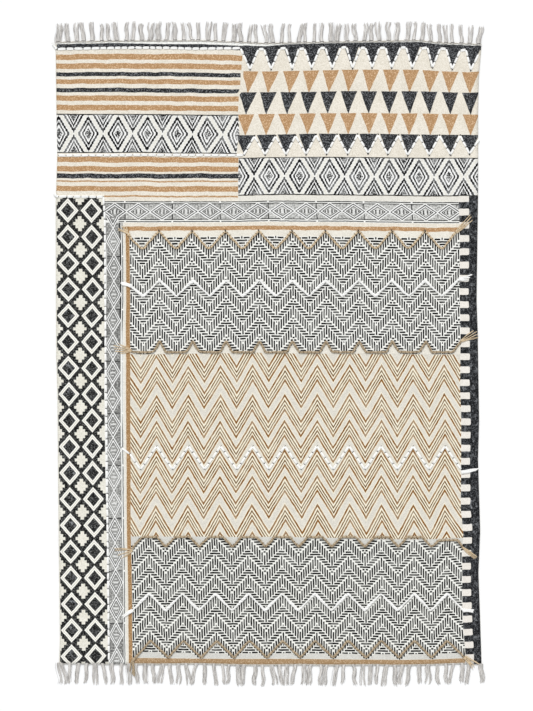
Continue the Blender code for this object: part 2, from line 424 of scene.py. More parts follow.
def either(*masks):
    """The greatest of the masks."""
    result = masks[0]
    for mask in masks[1:]:
        result = reckon("MAXIMUM", result, mask)
    return result


def outside(mask):
    return 1.0 - mask


def from_line(value, pitch):
    """How far a value is from the nearest multiple of the pitch."""
    return reckon("PINGPONG", value, pitch / 2)


def around(value, pitch):
    """A value wrapped into half a pitch each side of nought."""
    return reckon("WRAP", value, pitch / 2, -pitch / 2)


def onward(value, pitch):
    """A value wrapped from nought up to the pitch."""
    return reckon("WRAP", value, pitch, 0.0)


def wave(value, rate):
    """A sine wave from -1 to 1, which turns by this rate for each millimetre."""
    return reckon("SINE", value * rate)


# What a value is mapped from and to
Ramp = namedtuple("Ramp", "low high to_low to_high", defaults=(0.0, 1.0))


def stretch(value, ramp):
    """A value mapped along a ramp, and kept inside its ends."""
    node = value.tree.nodes.new("ShaderNodeMapRange")
    names = ("Value", "From Min", "From Max", "To Min", "To Max")
    for name, term in zip(names, (value, *ramp)):
        feed(node.inputs[name], term)
    return Amount(value.tree, node.outputs["Result"])


# How soft a printed edge is, in millimetres, and the edge of a mask on whole numbers
INK_EDGE = 0.7
CELL_EDGE = 0.1


def below(value, limit, soft=INK_EDGE):
    """1 where the value is under the limit, fading to 0 across a soft edge."""
    return stretch(value, Ramp(limit - soft / 2, limit + soft / 2, 1.0, 0.0))


def above(value, limit, soft=INK_EDGE):
    return outside(below(value, limit, soft))


def near(value, place, half, soft=INK_EDGE):
    """1 within half a width of a place."""
    return below(abs(value - place), half, soft)


def amid(value, low, high):
    """1 between two edges."""
    return near(value, (low + high) / 2, (high - low) / 2)


def charted(place, changes):
    """The change that a chart gives a whole-number place, and nought elsewhere."""
    total = 0.0
    for index, change in changes:
        total = near(place, index, 0.5, CELL_EDGE) * change + total
    return total


def vector(x, y, z=0.0):
    """A vector made of amounts and numbers."""
    node = tree_of(x, y, z).nodes.new("ShaderNodeCombineXYZ")
    for slot, part in zip(node.inputs, (x, y, z)):
        feed(slot, part)
    return node.outputs[0]


# Soft noise: the size of its patches in millimetres, how fine its detail is, and the
# layer it is cut from, so that two of one size are unlike
Mottle = namedtuple("Mottle", "size detail layer", defaults=(2.0, 0.0))
# Soft noise and the ramp that makes it a strength
Blotch = namedtuple("Blotch", "noise ramp")


def mottle(x, y, kind):
    """Soft noise from 0 to 1."""
    node = x.tree.nodes.new("ShaderNodeTexNoise")
    node.noise_dimensions = "3D"
    x.tree.links.new(vector(x, y, kind.layer), node.inputs["Vector"])
    node.inputs["Scale"].default_value = 1.0 / kind.size
    node.inputs["Detail"].default_value = kind.detail
    return Amount(x.tree, node.outputs[0])


def patchy(x, y, blotch):
    """A strength that varies in soft patches."""
    return stretch(mottle(x, y, blotch.noise), blotch.ramp)


def chance(x, y):
    """An even random number for each whole x and y."""
    node = x.tree.nodes.new("ShaderNodeTexWhiteNoise")
    node.noise_dimensions = "2D"
    x.tree.links.new(vector(x, y), node.inputs["Vector"])
    return Amount(x.tree, node.outputs["Value"])


def blend_colours(share, first, second):
    """A colour between two, each a fixed colour or a socket."""
    tree = share.tree
    node = tree.nodes.new("ShaderNodeMix")
    node.data_type = "RGBA"
    factor, colour_a, colour_b = node.inputs[0], node.inputs[6], node.inputs[7]
    tree.links.new(share.socket, factor)
    for slot, colour in ((colour_a, first), (colour_b, second)):
        if isinstance(colour, tuple):
            slot.default_value = colour
        else:
            tree.links.new(colour, slot)
    return node.outputs[2]


def two_tone(tone, first, second, share, ramp):
    """A colour that varies between a tone's two, by a blend of two mottles."""
    place = stretch(first * share + second * (1 - share), ramp)
    return blend_colours(place, tone.light, tone.dark)


FIBRE_SHINE = 0.2


def new_material(name, roughness):
    material = bpy.data.materials.new(name)
    material.use_nodes = True
    shader = material.node_tree.nodes["Principled BSDF"]
    shader.inputs["Roughness"].default_value = roughness
    shader.inputs["Specular IOR Level"].default_value = FIBRE_SHINE
    return material, material.node_tree, shader


def finish_shader(tree, shader, colour, height, depth):
    """Gives a shader its colour, and bumps of this depth in metres."""
    tree.links.new(colour, shader.inputs["Base Color"])
    node = tree.nodes.new("ShaderNodeBump")
    node.inputs["Distance"].default_value = depth
    tree.links.new(height.socket, node.inputs["Height"])
    tree.links.new(node.outputs["Normal"], shader.inputs["Normal"])


def in_millimetres(tree, place):
    """The x and y of a socket that gives a place in metres."""
    split = tree.nodes.new("ShaderNodeSeparateXYZ")
    tree.links.new(place, split.inputs[0])
    return [Amount(tree, socket) * METRE_IN_MM for socket in list(split.outputs)[:2]]


def print_place(tree):
    """The drawing's x and y in millimetres."""
    uv = tree.nodes.new("ShaderNodeUVMap")
    uv.uv_map = "print"
    return in_millimetres(tree, uv.outputs["UV"])


# The small waver of hand printing, in millimetres
PRINT_WAVER = 1.0
PRINT_WAVER_SIZE = 13.0
PRINT_WAVER_DETAIL = 2.5


def wavered(x, y):
    """A place of the drawing, moved by the waver of hand printing."""
    noisy = x.tree.nodes.new("ShaderNodeTexNoise")
    noisy.noise_dimensions = "2D"
    x.tree.links.new(vector(x, y), noisy.inputs["Vector"])
    noisy.inputs["Scale"].default_value = 1.0 / PRINT_WAVER_SIZE
    noisy.inputs["Detail"].default_value = PRINT_WAVER_DETAIL
    parts = x.tree.nodes.new("ShaderNodeSeparateXYZ")
    x.tree.links.new(noisy.outputs["Color"], parts.inputs[0])
    return [
        place + (Amount(x.tree, part) - 0.5) * (2 * PRINT_WAVER)
        for place, part in zip((x, y), parts.outputs)
    ]


# The flat weave: warp ribs that bend a little, finer picks and the fuzz over both
WEAVE_PITCH = 2.6
PICK_PITCH = WEAVE_PITCH * 0.7
RIB_HEIGHT = 0.35
PICK_HEIGHT = 0.15
RIB_BENDS = Mottle(40.0)
RIB_BEND = 9.0
WEAVE_FUZZ = Mottle(2.4, 3.0, 3.0)
WEAVE_DEPTH = 0.5 * MM
CLOTH_ROUGHNESS = 0.95

# How the cloth's own colour varies, and where the grain leaves specks in an ink
GRAIN = Mottle(2.7, 1.0, 9.0)
CLOUDS = Mottle(60.0)
GRAIN_SHARE = 0.75
GROUND_RAMP = Ramp(0.38, 0.62)
SPECK_RAMP = Ramp(0.51, 0.68)


def weave_height(x, y):
    """The ribs of a flat weave, a little uneven along their length."""
    ribs = wave(x + mottle(x, y, RIB_BENDS) * RIB_BEND, 2 * math.pi / WEAVE_PITCH)
    picks = wave(y, 2 * math.pi / PICK_PITCH)
    return ribs * RIB_HEIGHT + picks * PICK_HEIGHT + mottle(x, y, WEAVE_FUZZ)


def cloth_material(panel):
    """Woven cotton with the inks of one panel, which gives (ink, mask) rows."""
    material, tree, shader = new_material(panel.name, CLOTH_ROUGHNESS)
    x, y = print_place(tree)
    grain = mottle(x, y, GRAIN)
    colour = two_tone(panel.ground, grain, mottle(x, y, CLOUDS), GRAIN_SHARE, GROUND_RAMP)
    specks = stretch(grain, SPECK_RAMP)
    for ink, mask in panel.inks(*wavered(x, y)):
        colour = blend_colours(mask, colour, blend_colours(specks, ink.full, ink.speck))
    finish_shader(tree, shader, colour, weave_height(x, y), WEAVE_DEPTH)
    return material


# The unprinted hem over each block of the head
HEM_LINE_LEFT = 878.0
HEM_LINE_RIGHT = 879.5
HEM_DIP = 4.0
HEM_SLOPE = Ramp(-430.0, -300.0, HEM_LINE_LEFT, HEM_LINE_LEFT - HEM_DIP)
HEM_STEP = 10.0
HEM_STEP_SOFT = 70.0

# The head's left block: bands of ink across the cloth
Stripe = namedtuple("Stripe", "centre width ink start end")
STRIPES = [
    Stripe(869.6, 16.5, HEAD_BLACK, -598, -60),
    Stripe(839.7, 15.6, TAN_INK, -600, -85.5),
    Stripe(813.6, 15.6, TAN_INK, -600, -87),
    Stripe(790.3, 11.8, HEAD_BLACK, -600, -88.5),
    Stripe(769.3, 13.3, TAN_INK, -600, -89),
    Stripe(744.5, 12.2, HEAD_BLACK, -600, -91),
    Stripe(721.6, 15.0, TAN_INK, -600, -83),
    Stripe(695.6, 15.0, TAN_INK, -600, -83),
    Stripe(548.7, 15.0, TAN_INK, -600, -82),
    Stripe(522.4, 15.0, TAN_INK, -600, -82),
    Stripe(502.3, 13.4, HEAD_BLACK, -600, -79.5),
    Stripe(487.3, 4.2, TAN_INK, -600, -83),
    Stripe(466.1, 15.0, TAN_INK, -600, -82),
    Stripe(445.2, 4.8, TAN_INK, -462, -82),
]


# How a band strays up and down along its length, in millimetres
SWAY = Mottle(48.0, 3.0, 11.0)
SWAY_SQUASH = 0.7
SWAY_HEIGHT = 7.0


def swayed(x, y):
    """A height moved up and down a little along a band, as hand printing does."""
    return y + (mottle(x, y * SWAY_SQUASH, SWAY) - 0.5) * SWAY_HEIGHT


def stripe_inks(x, y):
    level = swayed(x, y)
    rows = [(stripe.ink, stripe_mask(stripe, x, level)) for stripe in STRIPES]
    return rows + [(HEM_INK, above(y - stretch(x, HEM_SLOPE), 0.0))]


def stripe_mask(stripe, x, y):
    level = near(y, stripe.centre, stripe.width / 2)
    return both(level, above(x, stripe.start), below(x, stripe.end))


# A band of nested diamonds between two thin lines
DiamondBand = namedtuple("DiamondBand", "centre half_height first pitch")
DIAMONDS_LEFT = DiamondBand(622.5, 54.3, -594.8, 85.0)
DIAMONDS_RIGHT = DiamondBand(501.8, 53.2, 5.7, 84.6)
HEAD_STRIP = 446.0
Diamond = namedtuple("Diamond", "wide tall")
OUTER_DIAMOND = Diamond(27.9, 46.6)
INNER_DIAMOND = Diamond(16.6, 31.0)
CORE = Diamond(10.6, 18.0)
HALF_CORE = Diamond(12.0, 21.0)
# A diamond's line: how far out it lies, how wide it is and how much it may swell,
# all as shares of the diamond
DiamondLine = namedtuple("DiamondLine", "size half swell soft")
OUTER_LINE = DiamondLine(0.985, 0.088, 0.06, 0.04)
INNER_LINE = DiamondLine(1.0, 0.105, 0.09, 0.05)
LINE_SWELL = Mottle(55.0, 2.0, 5.0)
JAG_RATE = 0.78
JAG_DEPTH = 0.03
CORE_SOFT = 0.08
CORE_SPECKLE = Blotch(Mottle(4.2, 3.0), Ramp(0.42, 0.50, 0.2, 1.0))
HALF_CORE_LEAST = 0.55
WHITE_REACH = 1.17
WHITE_SOFT = 0.06
BAND_LINE_HALF = 1.7
DIAMOND_WEAR = Blotch(Mottle(26.0, 2.0, 7.0), Ramp(0.32, 0.56, 0.76, 1.0))


def nested(across, along, diamond):
    """How far out a point lies in a diamond, 1 being on its edge."""
    return across / diamond.wide + along / diamond.tall


def diamond_inks(band):
    def inks(x, y):
        across = from_line(x - band.first, band.pitch)
        along = abs(y - band.centre)
        across_half = band.pitch / 2 - across
        along_half = band.half_height - along
        swell = mottle(x, y, LINE_SWELL)
        jag = wave(y, JAG_RATE) * JAG_DEPTH

        def size(diamond):
            return both(
                nested(across, along, diamond),
                nested(across_half, along_half, diamond),
            )

        def ring(size_here, line):
            return near(size_here + jag, line.size, line.half + swell * line.swell, line.soft)

        outer_size = size(OUTER_DIAMOND)
        rings = either(ring(outer_size, OUTER_LINE), ring(size(INNER_DIAMOND), INNER_LINE))
        speckle = patchy(x, y, CORE_SPECKLE)
        whole_core = below(nested(across, along, CORE), 1.0, CORE_SOFT) * speckle
        half_core = below(nested(across_half, along_half, HALF_CORE), 1.0, CORE_SOFT)
        core = either(whole_core, half_core * either(speckle, HALF_CORE_LEAST))
        edge = near(along, band.half_height, BAND_LINE_HALF)
        within = below(along, band.half_height)
        lines = both(either(rings, core), within)
        return [
            (CREAM_INK, outside(within)),
            (STRIP_INK, below(y, HEAD_STRIP)),
            (WHITE_INK, both(below(outer_size, WHITE_REACH, WHITE_SOFT), within)),
            (FINE_INK, either(lines, edge) * patchy(x, y, DIAMOND_WEAR)),
        ]
    return inks


# The head's right block: rows of triangles that point down
TriangleRow = namedtuple("TriangleRow", "top tip half_base ink")
TRIANGLE_ROWS = [
    TriangleRow(803.4, 738.0, 24.1, TAN_INK),
    TriangleRow(741.8, 677.0, 23.6, HEAD_BLACK),
    TriangleRow(678.8, 618.0, 23.6, TAN_INK),
    TriangleRow(620.6, 561.5, 25.4, HEAD_BLACK),
]
TRIANGLE_FIRST = -62.0
TRIANGLE_PITCH = 57.6
ARCH_TOP = 866.0
ARCH_TIP = 810.0
ARCH_HALF_BASE = 20.0
# Arches wider or narrower than the rest, by their place in the row
ARCH_CHANGES = [(0, 3.5), (2, -2.6), (5, -2.0), (9, -3.0), (11, -2.4)]
ARCH_OVERLAP = 5.0
TRIANGLE_NUDGE = 3.0
TRIANGLE_SOFT = 1.0


def triangle_inks(x, y):
    place = x - TRIANGLE_FIRST
    column = whole(place / TRIANGLE_PITCH + 0.5)
    off_centre = around(place, TRIANGLE_PITCH)
    rows = []
    for index, row in enumerate(TRIANGLE_ROWS):
        nudge = (chance(column, index) - 0.5) * TRIANGLE_NUDGE
        width = (y - row.tip) * (row.half_base / (row.top - row.tip))
        hanging = below(abs(off_centre + nudge) - width, 0.0, TRIANGLE_SOFT)
        rows.append((row.ink, both(hanging, below(y, row.top))))
    half_base = charted(column, ARCH_CHANGES) + ARCH_HALF_BASE
    width = (y - ARCH_TIP) * half_base / (ARCH_TOP - ARCH_OVERLAP - ARCH_TIP)
    hanging = below(abs(off_centre) - width, 0.0, TRIANGLE_SOFT)
    arches = both(hanging, above(y, ARCH_TIP))
    hem = below(x, HEM_STEP, HEM_STEP_SOFT) * -HEM_DIP + HEM_LINE_RIGHT
    rows.append((HEAD_BLACK, either(arches, above(y, ARCH_TOP))))
    rows.append((HEM_INK, above(y - hem, 0.0)))
    return rows


# The left border: rings and stepped stars on black
RING_COLUMN = -533.1
RING_PITCH_X = 67.6
RING_LEFT = -566.9
RING_PITCH_Y = 74.2
RING_FIRST = 404.2
RING_WIDE = 30.6
RING_TALL = 34.6
# The open ring and the grey line in it, as shares of the ring's size
RING_INSIDE = 0.62
RING_SOFT = 0.05
RING_LINE = 0.81
RING_LINE_HALF = 0.035
RING_LINE_SOFT = 0.03
RING_LINE_STRENGTH = 0.5
STAR_ROW = 8.4
STAR_ACROSS = 6.7
STAR_HALF = 18.8
STAR_SOFT = 1.2
BLACK_BOTTOM = -879.0
BLACK_LEFT = -598.5
# The worn heart of a ring, most of all right and above of the middle at the left
HEART = RING_INSIDE - 0.08
HEART_SOFT = 0.06
HEART_WEAR = Blotch(Mottle(8.0, 3.0, 2.0), Ramp(0.50, 0.62))
HEART_LEAST = 0.15
RUB_LINE = 4.0
RUB_SOFT = 12.0


def step_inks(x, y):
    to_star_x = from_line(x - RING_COLUMN, RING_PITCH_X)
    to_star_y = RING_PITCH_Y / 2 - from_line(y - RING_FIRST, RING_PITCH_Y)
    to_ring_x = RING_PITCH_X / 2 - to_star_x
    to_ring_y = RING_PITCH_Y / 2 - to_star_y
    ring = to_ring_x / RING_WIDE + to_ring_y / RING_TALL
    open_ring = both(below(ring, 1.0, RING_SOFT), above(ring, RING_INSIDE, RING_SOFT))
    middle_line = near(ring, RING_LINE, RING_LINE_HALF, RING_LINE_SOFT) * RING_LINE_STRENGTH
    star_row = whole(to_star_y / STAR_ROW + 0.5)
    star = below(to_star_x + star_row * STAR_ACROSS, STAR_HALF, STAR_SOFT)
    inside = both(above(y, BLACK_BOTTOM), above(x, BLACK_LEFT))
    ground = both(outside(either(open_ring, star)), inside)
    left_column = below(abs(x - RING_LEFT), RING_WIDE)
    up_and_right = x - RING_LEFT + around(y - RING_FIRST, RING_PITCH_Y)
    rubbed = both(left_column, above(up_and_right, RUB_LINE, RUB_SOFT))
    heart = both(below(ring, HEART, HEART_SOFT), rubbed * (1 - HEART_LEAST) + HEART_LEAST)
    worn = heart * patchy(x, y, HEART_WEAR)
    return [
        (STEP_INK, ground),
        (WORN_INK, both(worn, ground)),
        (RING_INK, open_ring),
        (GREY_INK, middle_line),
    ]


# The lozenge borders: the same block printed along the head and down the left
Lozenges = namedtuple(
    "Lozenges", "first pitch middle half_long half_short half_band joint wash least marks chart"
)
# Blocks printed darker or lighter than the rest, by their place along each border
TOP_WASHES = [(-1, 0.14), (0, 0.04), (1, -0.03), (2, -0.04), (3, -0.09), (4, -0.09),
              (5, -0.08), (6, -0.06)]
LEFT_WASHES = [(0, 0.05), (-1, 0.08), (-2, 0.10), (-3, 0.10), (-6, -0.12), (-7, -0.10),
               (-8, 0.09)]
LOZENGES_TOP_BAND = Lozenges(-432.1, 67.6, 401.9, 34.4, 23.4, 22.3, 29.0, 0.38, 0.86,
                             0.95, TOP_WASHES)
LOZENGES_LEFT_BAND = Lozenges(317.8, 74.3, -438.3, 36.4, 20.0, 19.8, -42.0, 0.54, 0.66,
                              0.72, LEFT_WASHES)
LOZENGE_STRIP = -410.6
CORNER_RIGHT = -410.0
CORNER_HEIGHT = 388.0
# A lozenge's dark rings and white ones, as shares of its size
LozengeRing = namedtuple("LozengeRing", "size half")
DARK_RINGS = [LozengeRing(0.88, 0.065), LozengeRing(0.60, 0.05)]
WHITE_RINGS = [LozengeRing(1.03, 0.07), LozengeRing(0.74, 0.06)]
LOZENGE_SOFT = 0.04
# The marks along a lozenge's length: how far out, half their own length and half
# their width, in millimetres
Mark = namedtuple("Mark", "out half aside")
DARK_MARKS = [Mark(5.8, 1.9, 6.4), Mark(13.6, 2.0, 2.4), Mark(19.6, 1.9, 2.2)]
WHITE_MARKS = [Mark(0.0, 2.0, 7.2), Mark(9.6, 1.6, 3.4), Mark(24.5, 2.6, 2.2)]
WHITE_MARK_STRENGTH = 0.8
# The hatched wash round the lozenges: how much each cause darkens it, and the draws
# of chance for a block's wash and for its lines
HATCH_RATE = 1.55
HATCH_WASH = 0.14
BLOCK_WASH = 0.16
RIM = 1.1
RIM_SOFT = 0.06
RIM_SHARE = 0.45
RIM_WASH = 0.14
SPECKLE = Mottle(4.6)
SPECKLE_WASH = 1.6
FADE_WASH = 0.12
WASH_DRAW = 1.0
LINES_DRAW = 3.0
WASH_LEAST = 0.04
WASH_MOST = 0.85
# The seams between the blocks, and the border's edges
SEAM_HALF = 1.4
SEAM_GAP = 2.4
SEAM_SIZE = 1.12
SEAM_SOFT = 0.05
EDGE_HALF = 1.3
LEFT_EDGE_STRENGTH = 0.66
INNER_EDGE_HALF = 1.9
INNER_EDGE_FOOT = 60.0
INNER_EDGE_SOFT = 90.0
# The thin printed lines beside the borders
LEFT_LINE = -412.6
LEFT_LINE_HALF = 1.3
LEFT_LINE_SHIFT = Ramp(-800.0, -560.0, 1.6, 0.0)
LEFT_LINE_STARTS = Ramp(40.0, 90.0, 0.3, 0.95)
LEFT_LINE_ENDS = Ramp(-230.0, -170.0, 0.9, 0.3)
TOP_LINE = 429.4
UNDER_LINE = 373.8
UNDER_LINE_STRENGTH = 0.95
UNDER_LINE_START = -422.0
TOP_LINES_HALF = 1.4


def lozenge_motif(band, long, short):
    """The dark lines and the white ones of a lozenge. long runs along its border."""
    size = long / band.half_long + short / band.half_short

    def rings(kinds):
        return either(*[near(size, ring.size, ring.half, LOZENGE_SOFT) for ring in kinds])

    def marks(kinds):
        return either(
            *[both(near(long, mark.out, mark.half), below(short, mark.aside)) for mark in kinds]
        )

    dark = either(rings(DARK_RINGS), marks(DARK_MARKS) * band.marks)
    white = either(rings(WHITE_RINGS), marks(WHITE_MARKS) * WHITE_MARK_STRENGTH)
    return dark, white, size


def from_joint(band, run):
    """How far a place along a border is from the joint of two printing blocks."""
    return from_line(run - band.first - band.joint, band.pitch * 2)


def lozenge_wash(band, run, block, block_run, size, speckle):
    """How dark the hatched ground is."""
    wash = band.wash + wave(run, HATCH_RATE) * HATCH_WASH
    wash = wash + (chance(block, WASH_DRAW) - 0.5) * BLOCK_WASH
    wash = wash + charted(block, band.chart)
    wash = wash + (above(size, RIM, RIM_SOFT) - RIM_SHARE) * RIM_WASH
    wash = wash + (speckle - 0.5) * SPECKLE_WASH
    wash = wash + (block_run - block) * FADE_WASH
    return both(either(wash, WASH_LEAST), WASH_MOST)


def lozenge_inks(band, runs_down):
    def inks(x, y):
        run, aside = (y, x) if runs_down else (x, y)
        long = from_line(run - band.first, band.pitch)
        short = abs(aside - band.middle)
        dark, white, size = lozenge_motif(band, long, short)
        block_run = (run - band.first - band.joint) / (band.pitch * 2)
        block = whole(block_run)
        wash = lozenge_wash(band, run, block, block_run, size, mottle(x, y, SPECKLE))
        within = below(short, band.half_band)
        strong = dark * stretch(chance(block, LINES_DRAW), Ramp(0.0, 1.0, band.least, 1.0))
        seam = both(
            below(from_joint(band, run), SEAM_HALF),
            above(size, SEAM_SIZE, SEAM_SOFT),
            within,
        )
        edge = near(short, band.half_band, EDGE_HALF)
        corner = 0.0
        if runs_down:
            inner = near(aside - band.middle, band.half_band, INNER_EDGE_HALF)
            inner = both(inner, above(y, INNER_EDGE_FOOT, INNER_EDGE_SOFT))
            edge = either(edge * LEFT_EDGE_STRENGTH, inner)
        else:
            corner, strong, white = lozenge_corner(x, y, strong, white)
            seam = both(seam, outside(corner))
            edge = both(edge, outside(corner))
            within = either(within, corner)
        ink = both(either(both(wash, within), strong, seam, edge), outside(white))
        rows = [
            (WHITE_INK, both(white, within)),
            (HATCH_INK, ink),
            (FINE_INK, lozenge_lines(band, run, aside, runs_down, corner)),
        ]
        if runs_down:
            rows.append((STRIP_INK, above(aside, LOZENGE_STRIP)))
        return rows
    return inks


def lozenge_corner(x, y, dark, white):
    """The left border's last lozenge, which was printed over the end of the upper one."""
    band = LOZENGES_LEFT_BAND
    long = abs(y - band.first - band.pitch)
    short = abs(x - band.middle)
    dark_two, white_two, size = lozenge_motif(band, long, short)
    corner = both(below(size, SEAM_SIZE, SEAM_SOFT), below(y, CORNER_HEIGHT),
                  below(x, CORNER_RIGHT))
    apart = outside(corner)
    dark = either(both(dark, apart), both(dark_two, corner))
    white = either(both(white, apart), both(white_two, corner))
    return corner, dark, white


def lozenge_lines(band, run, aside, runs_down, corner):
    """The thin printed lines beside the border, which stop at the blocks' joints."""
    gap = above(from_joint(band, run), SEAM_GAP)
    if runs_down:
        line = near(aside + stretch(run, LEFT_LINE_SHIFT), LEFT_LINE, LEFT_LINE_HALF)
        faint = either(stretch(run, LEFT_LINE_STARTS), stretch(run, LEFT_LINE_ENDS))
        return both(line * faint, gap)
    upper = near(aside, TOP_LINE, TOP_LINES_HALF)
    lower = near(aside, UNDER_LINE, TOP_LINES_HALF) * UNDER_LINE_STRENGTH
    lower = both(lower, outside(corner), above(run, UNDER_LINE_START))
    return both(either(upper, lower), gap)


# The tan frame round the field
FRAME_TOP = (348.6, 360.2)
FRAME_BOTTOM = (-876.8, -863.4)
FRAME_LEFT = (-402.6, -391.4)
FRAME_ENDS = (-412.0, 536.5)
FRAME_FOOT_START = FRAME_LEFT[0] + 9


def frame_inks(x, y):
    top = both(amid(swayed(x, y), *FRAME_TOP), below(x, FRAME_ENDS[1]), above(x, FRAME_ENDS[0]))
    bottom = both(amid(y, *FRAME_BOTTOM), above(x, FRAME_FOOT_START))
    left = both(amid(x, *FRAME_LEFT), below(y, FRAME_TOP[1]), above(y, FRAME_BOTTOM[0]))
    return [(TAN_INK, top), (FOOT_TAN_INK, bottom), (DEEP_TAN_INK, left)]


# The herringbone fields: short bars that climb to peaks
Herringbone = namedtuple("Herringbone", "first peak_pitch climb repeat start upper white")
HERRINGBONE_UPPER = Herringbone(-307.9, 93.96, 7.35, 54.3, 301.9, True, FIELD_INK)
HERRINGBONE_LOWER = Herringbone(-294.9, 93.3, 7.05, 54.4, -601.3, False, FOOT_FIELD_INK)
HERRINGBONE_COLUMNS = 7
BAR_HALF = 2.47
POST_HALF = 2.17
BAR_REACH = 0.22
PEAK_REACH = 0.46
SPLIT_HALF = 0.22
UPRIGHT_START = 5.4
UPRIGHT_LENGTH = 27.2
VALLEY_DELAY = 1.9
PEAK_ADVANCE = 1.4
FIELD_WEAR = Blotch(Mottle(30.0, 2.0, 4.0), Ramp(0.36, 0.50, 0.86, 1.0))
# The cut top and foot of each field, by heights and slopes
SHOULDER_SLOPE = 0.98
SHOULDER_FOOT = 331.0
NOTCH_TOP = 31.0
NOTCH_SLOPE = 1.74
CROWN_DEPTH = 544.8
CROWN_TOP = -520.7
FOOT_SPREAD = 22.6
FOOT_SLOPE = 0.757
FOOT_LEVEL = -847.0


def herringbone_inks(field):
    def inks(x, y):
        column_width = field.peak_pitch / 2 / HERRINGBONE_COLUMNS
        from_turn = from_line(x - field.first, field.peak_pitch)
        step = from_turn / column_width
        down = field.start - y if field.upper else y - field.start
        cell = whole(step)
        part = step - cell
        fall = down - cell * field.climb
        here, level_bar, split_bar, end_bar = [
            below(abs(around(fall + field.climb * back, field.repeat)), BAR_HALF)
            for back in (-1, 0, 1, 2)
        ]
        at_first = below(cell, 0.5, CELL_EDGE)
        split = both(at_first, below(part, SPLIT_HALF, CELL_EDGE))
        reach = at_first * (PEAK_REACH - BAR_REACH) + BAR_REACH
        level = either(
            both(here, above(part, 1.0 - BAR_REACH, CELL_EDGE)),
            level_bar,
            both(split_bar, outside(split)),
            both(end_bar, below(part - reach, 0.0, CELL_EDGE)),
        )
        post = whole(step + 0.5)
        off_post = abs(step - post) * column_width
        at_valley = above(post, HERRINGBONE_COLUMNS - 0.5, CELL_EDGE)
        at_peak = below(post, 0.5, CELL_EDGE)
        delay = UPRIGHT_START + at_valley * VALLEY_DELAY - at_peak * PEAK_ADVANCE
        drop = onward(down - post * field.climb - delay, field.repeat)
        upright = both(below(off_post, POST_HALF), below(drop, UPRIGHT_LENGTH))
        within = herringbone_edge(field, from_turn, y)
        bars = both(either(level, upright), within)
        return [(field.white, within), (FINE_INK, bars * patchy(x, y, FIELD_WEAR))]
    return inks


def herringbone_edge(field, from_turn, y):
    """1 inside the field's cut top and foot."""
    if field.upper:
        crown = reckon("MAXIMUM", FIELD_TOP - from_turn * SHOULDER_SLOPE, SHOULDER_FOOT)
        foot = reckon("MAXIMUM", NOTCH_TOP - from_turn * NOTCH_SLOPE, CHEVRONS_TOP)
    else:
        # The lower field's turns are valleys
        crown = reckon("MINIMUM", from_turn - CROWN_DEPTH, CROWN_TOP)
        spread = field.peak_pitch / 2 - from_turn - FOOT_SPREAD
        foot = reckon("MINIMUM", spread * -FOOT_SLOPE + FOOT_LEVEL, FOOT_LEVEL)
    return both(below(y - crown, 0.0), above(y - foot, 0.0))


# The chevron field: sets of four lines, thick outside and thin inside
CHEVRON_FIRST = -318.6
CHEVRON_PITCH = 90.4
CHEVRON_SLOPE = 1.69
CHEVRON_REPEAT = 78.4
CHEVRON_START = -39.7
CHEVRON_TILT = 0.0098
CHEVRON_TILT_FROM = 70.0
CHEVRON_HALO = 11.0
ChevronLine = namedtuple("ChevronLine", "place half")
CHEVRON_LINES = [
    ChevronLine(4.0, 4.5),
    ChevronLine(18.9, 3.3),
    ChevronLine(31.6, 3.3),
    ChevronLine(44.4, 4.4),
]
CHEVRON_LIFT = 4.6
CHEVRON_SOFT = 1.4
CHEVRON_FIELD_TOP = 0.0
CHEVRON_WEAR = Blotch(Mottle(22.0, 2.0, 6.0), Ramp(0.3, 0.62, 0.74, 1.0))
SET_HALO = CHEVRON_HALO * 0.75
SET_SOFT = 7.0


def chevron_inks(x, y):
    from_peak = from_line(x - CHEVRON_FIRST, CHEVRON_PITCH)
    level = y - (x - CHEVRON_TILT_FROM) * CHEVRON_TILT
    fall = CHEVRON_START - level - from_peak * CHEVRON_SLOPE
    top_line, bottom_line = CHEVRON_LINES[0].place, CHEVRON_LINES[-1].place
    raw = fall + top_line + CHEVRON_HALO
    half_turn = whole(raw / CHEVRON_REPEAT) / 2
    lifted = outside((half_turn - whole(half_turn)) * 2) * CHEVRON_LIFT
    drop = onward(raw + lifted, CHEVRON_REPEAT) - CHEVRON_HALO
    first, second, third, fourth = [
        near(drop, line.place, line.half, CHEVRON_SOFT) for line in CHEVRON_LINES
    ]
    inside = both(below(y, CHEVRON_FIELD_TOP), above(y, CHEVRONS_BOTTOM))
    from_set = abs(drop - (top_line + bottom_line) / 2)
    whole_set = below(from_set, (bottom_line - top_line) / 2 + SET_HALO, SET_SOFT)
    strength = patchy(x, y, CHEVRON_WEAR)
    return [
        (SET_INK, both(whole_set, inside)),
        (RUST_INK, both(either(first, fourth), inside) * strength),
        (UMBER_INK, both(either(second, third), inside) * strength),
    ]


# The comb border down the right edge
COMB_BAND = 570.0
TOOTH_FIRST = 421.6
TOOTH_PITCH = 37.2
TOOTH_HALF = 9.2
COMB_TEETH = 34
COMB_TOP = 453.0
GAP_CORNER = 3.5
COMB_WEAR = Blotch(Mottle(9.0, 2.5, 8.0), Ramp(0.52, 0.72, 0.0, 0.8))
COMB_WEAR_SQUASH = 0.7


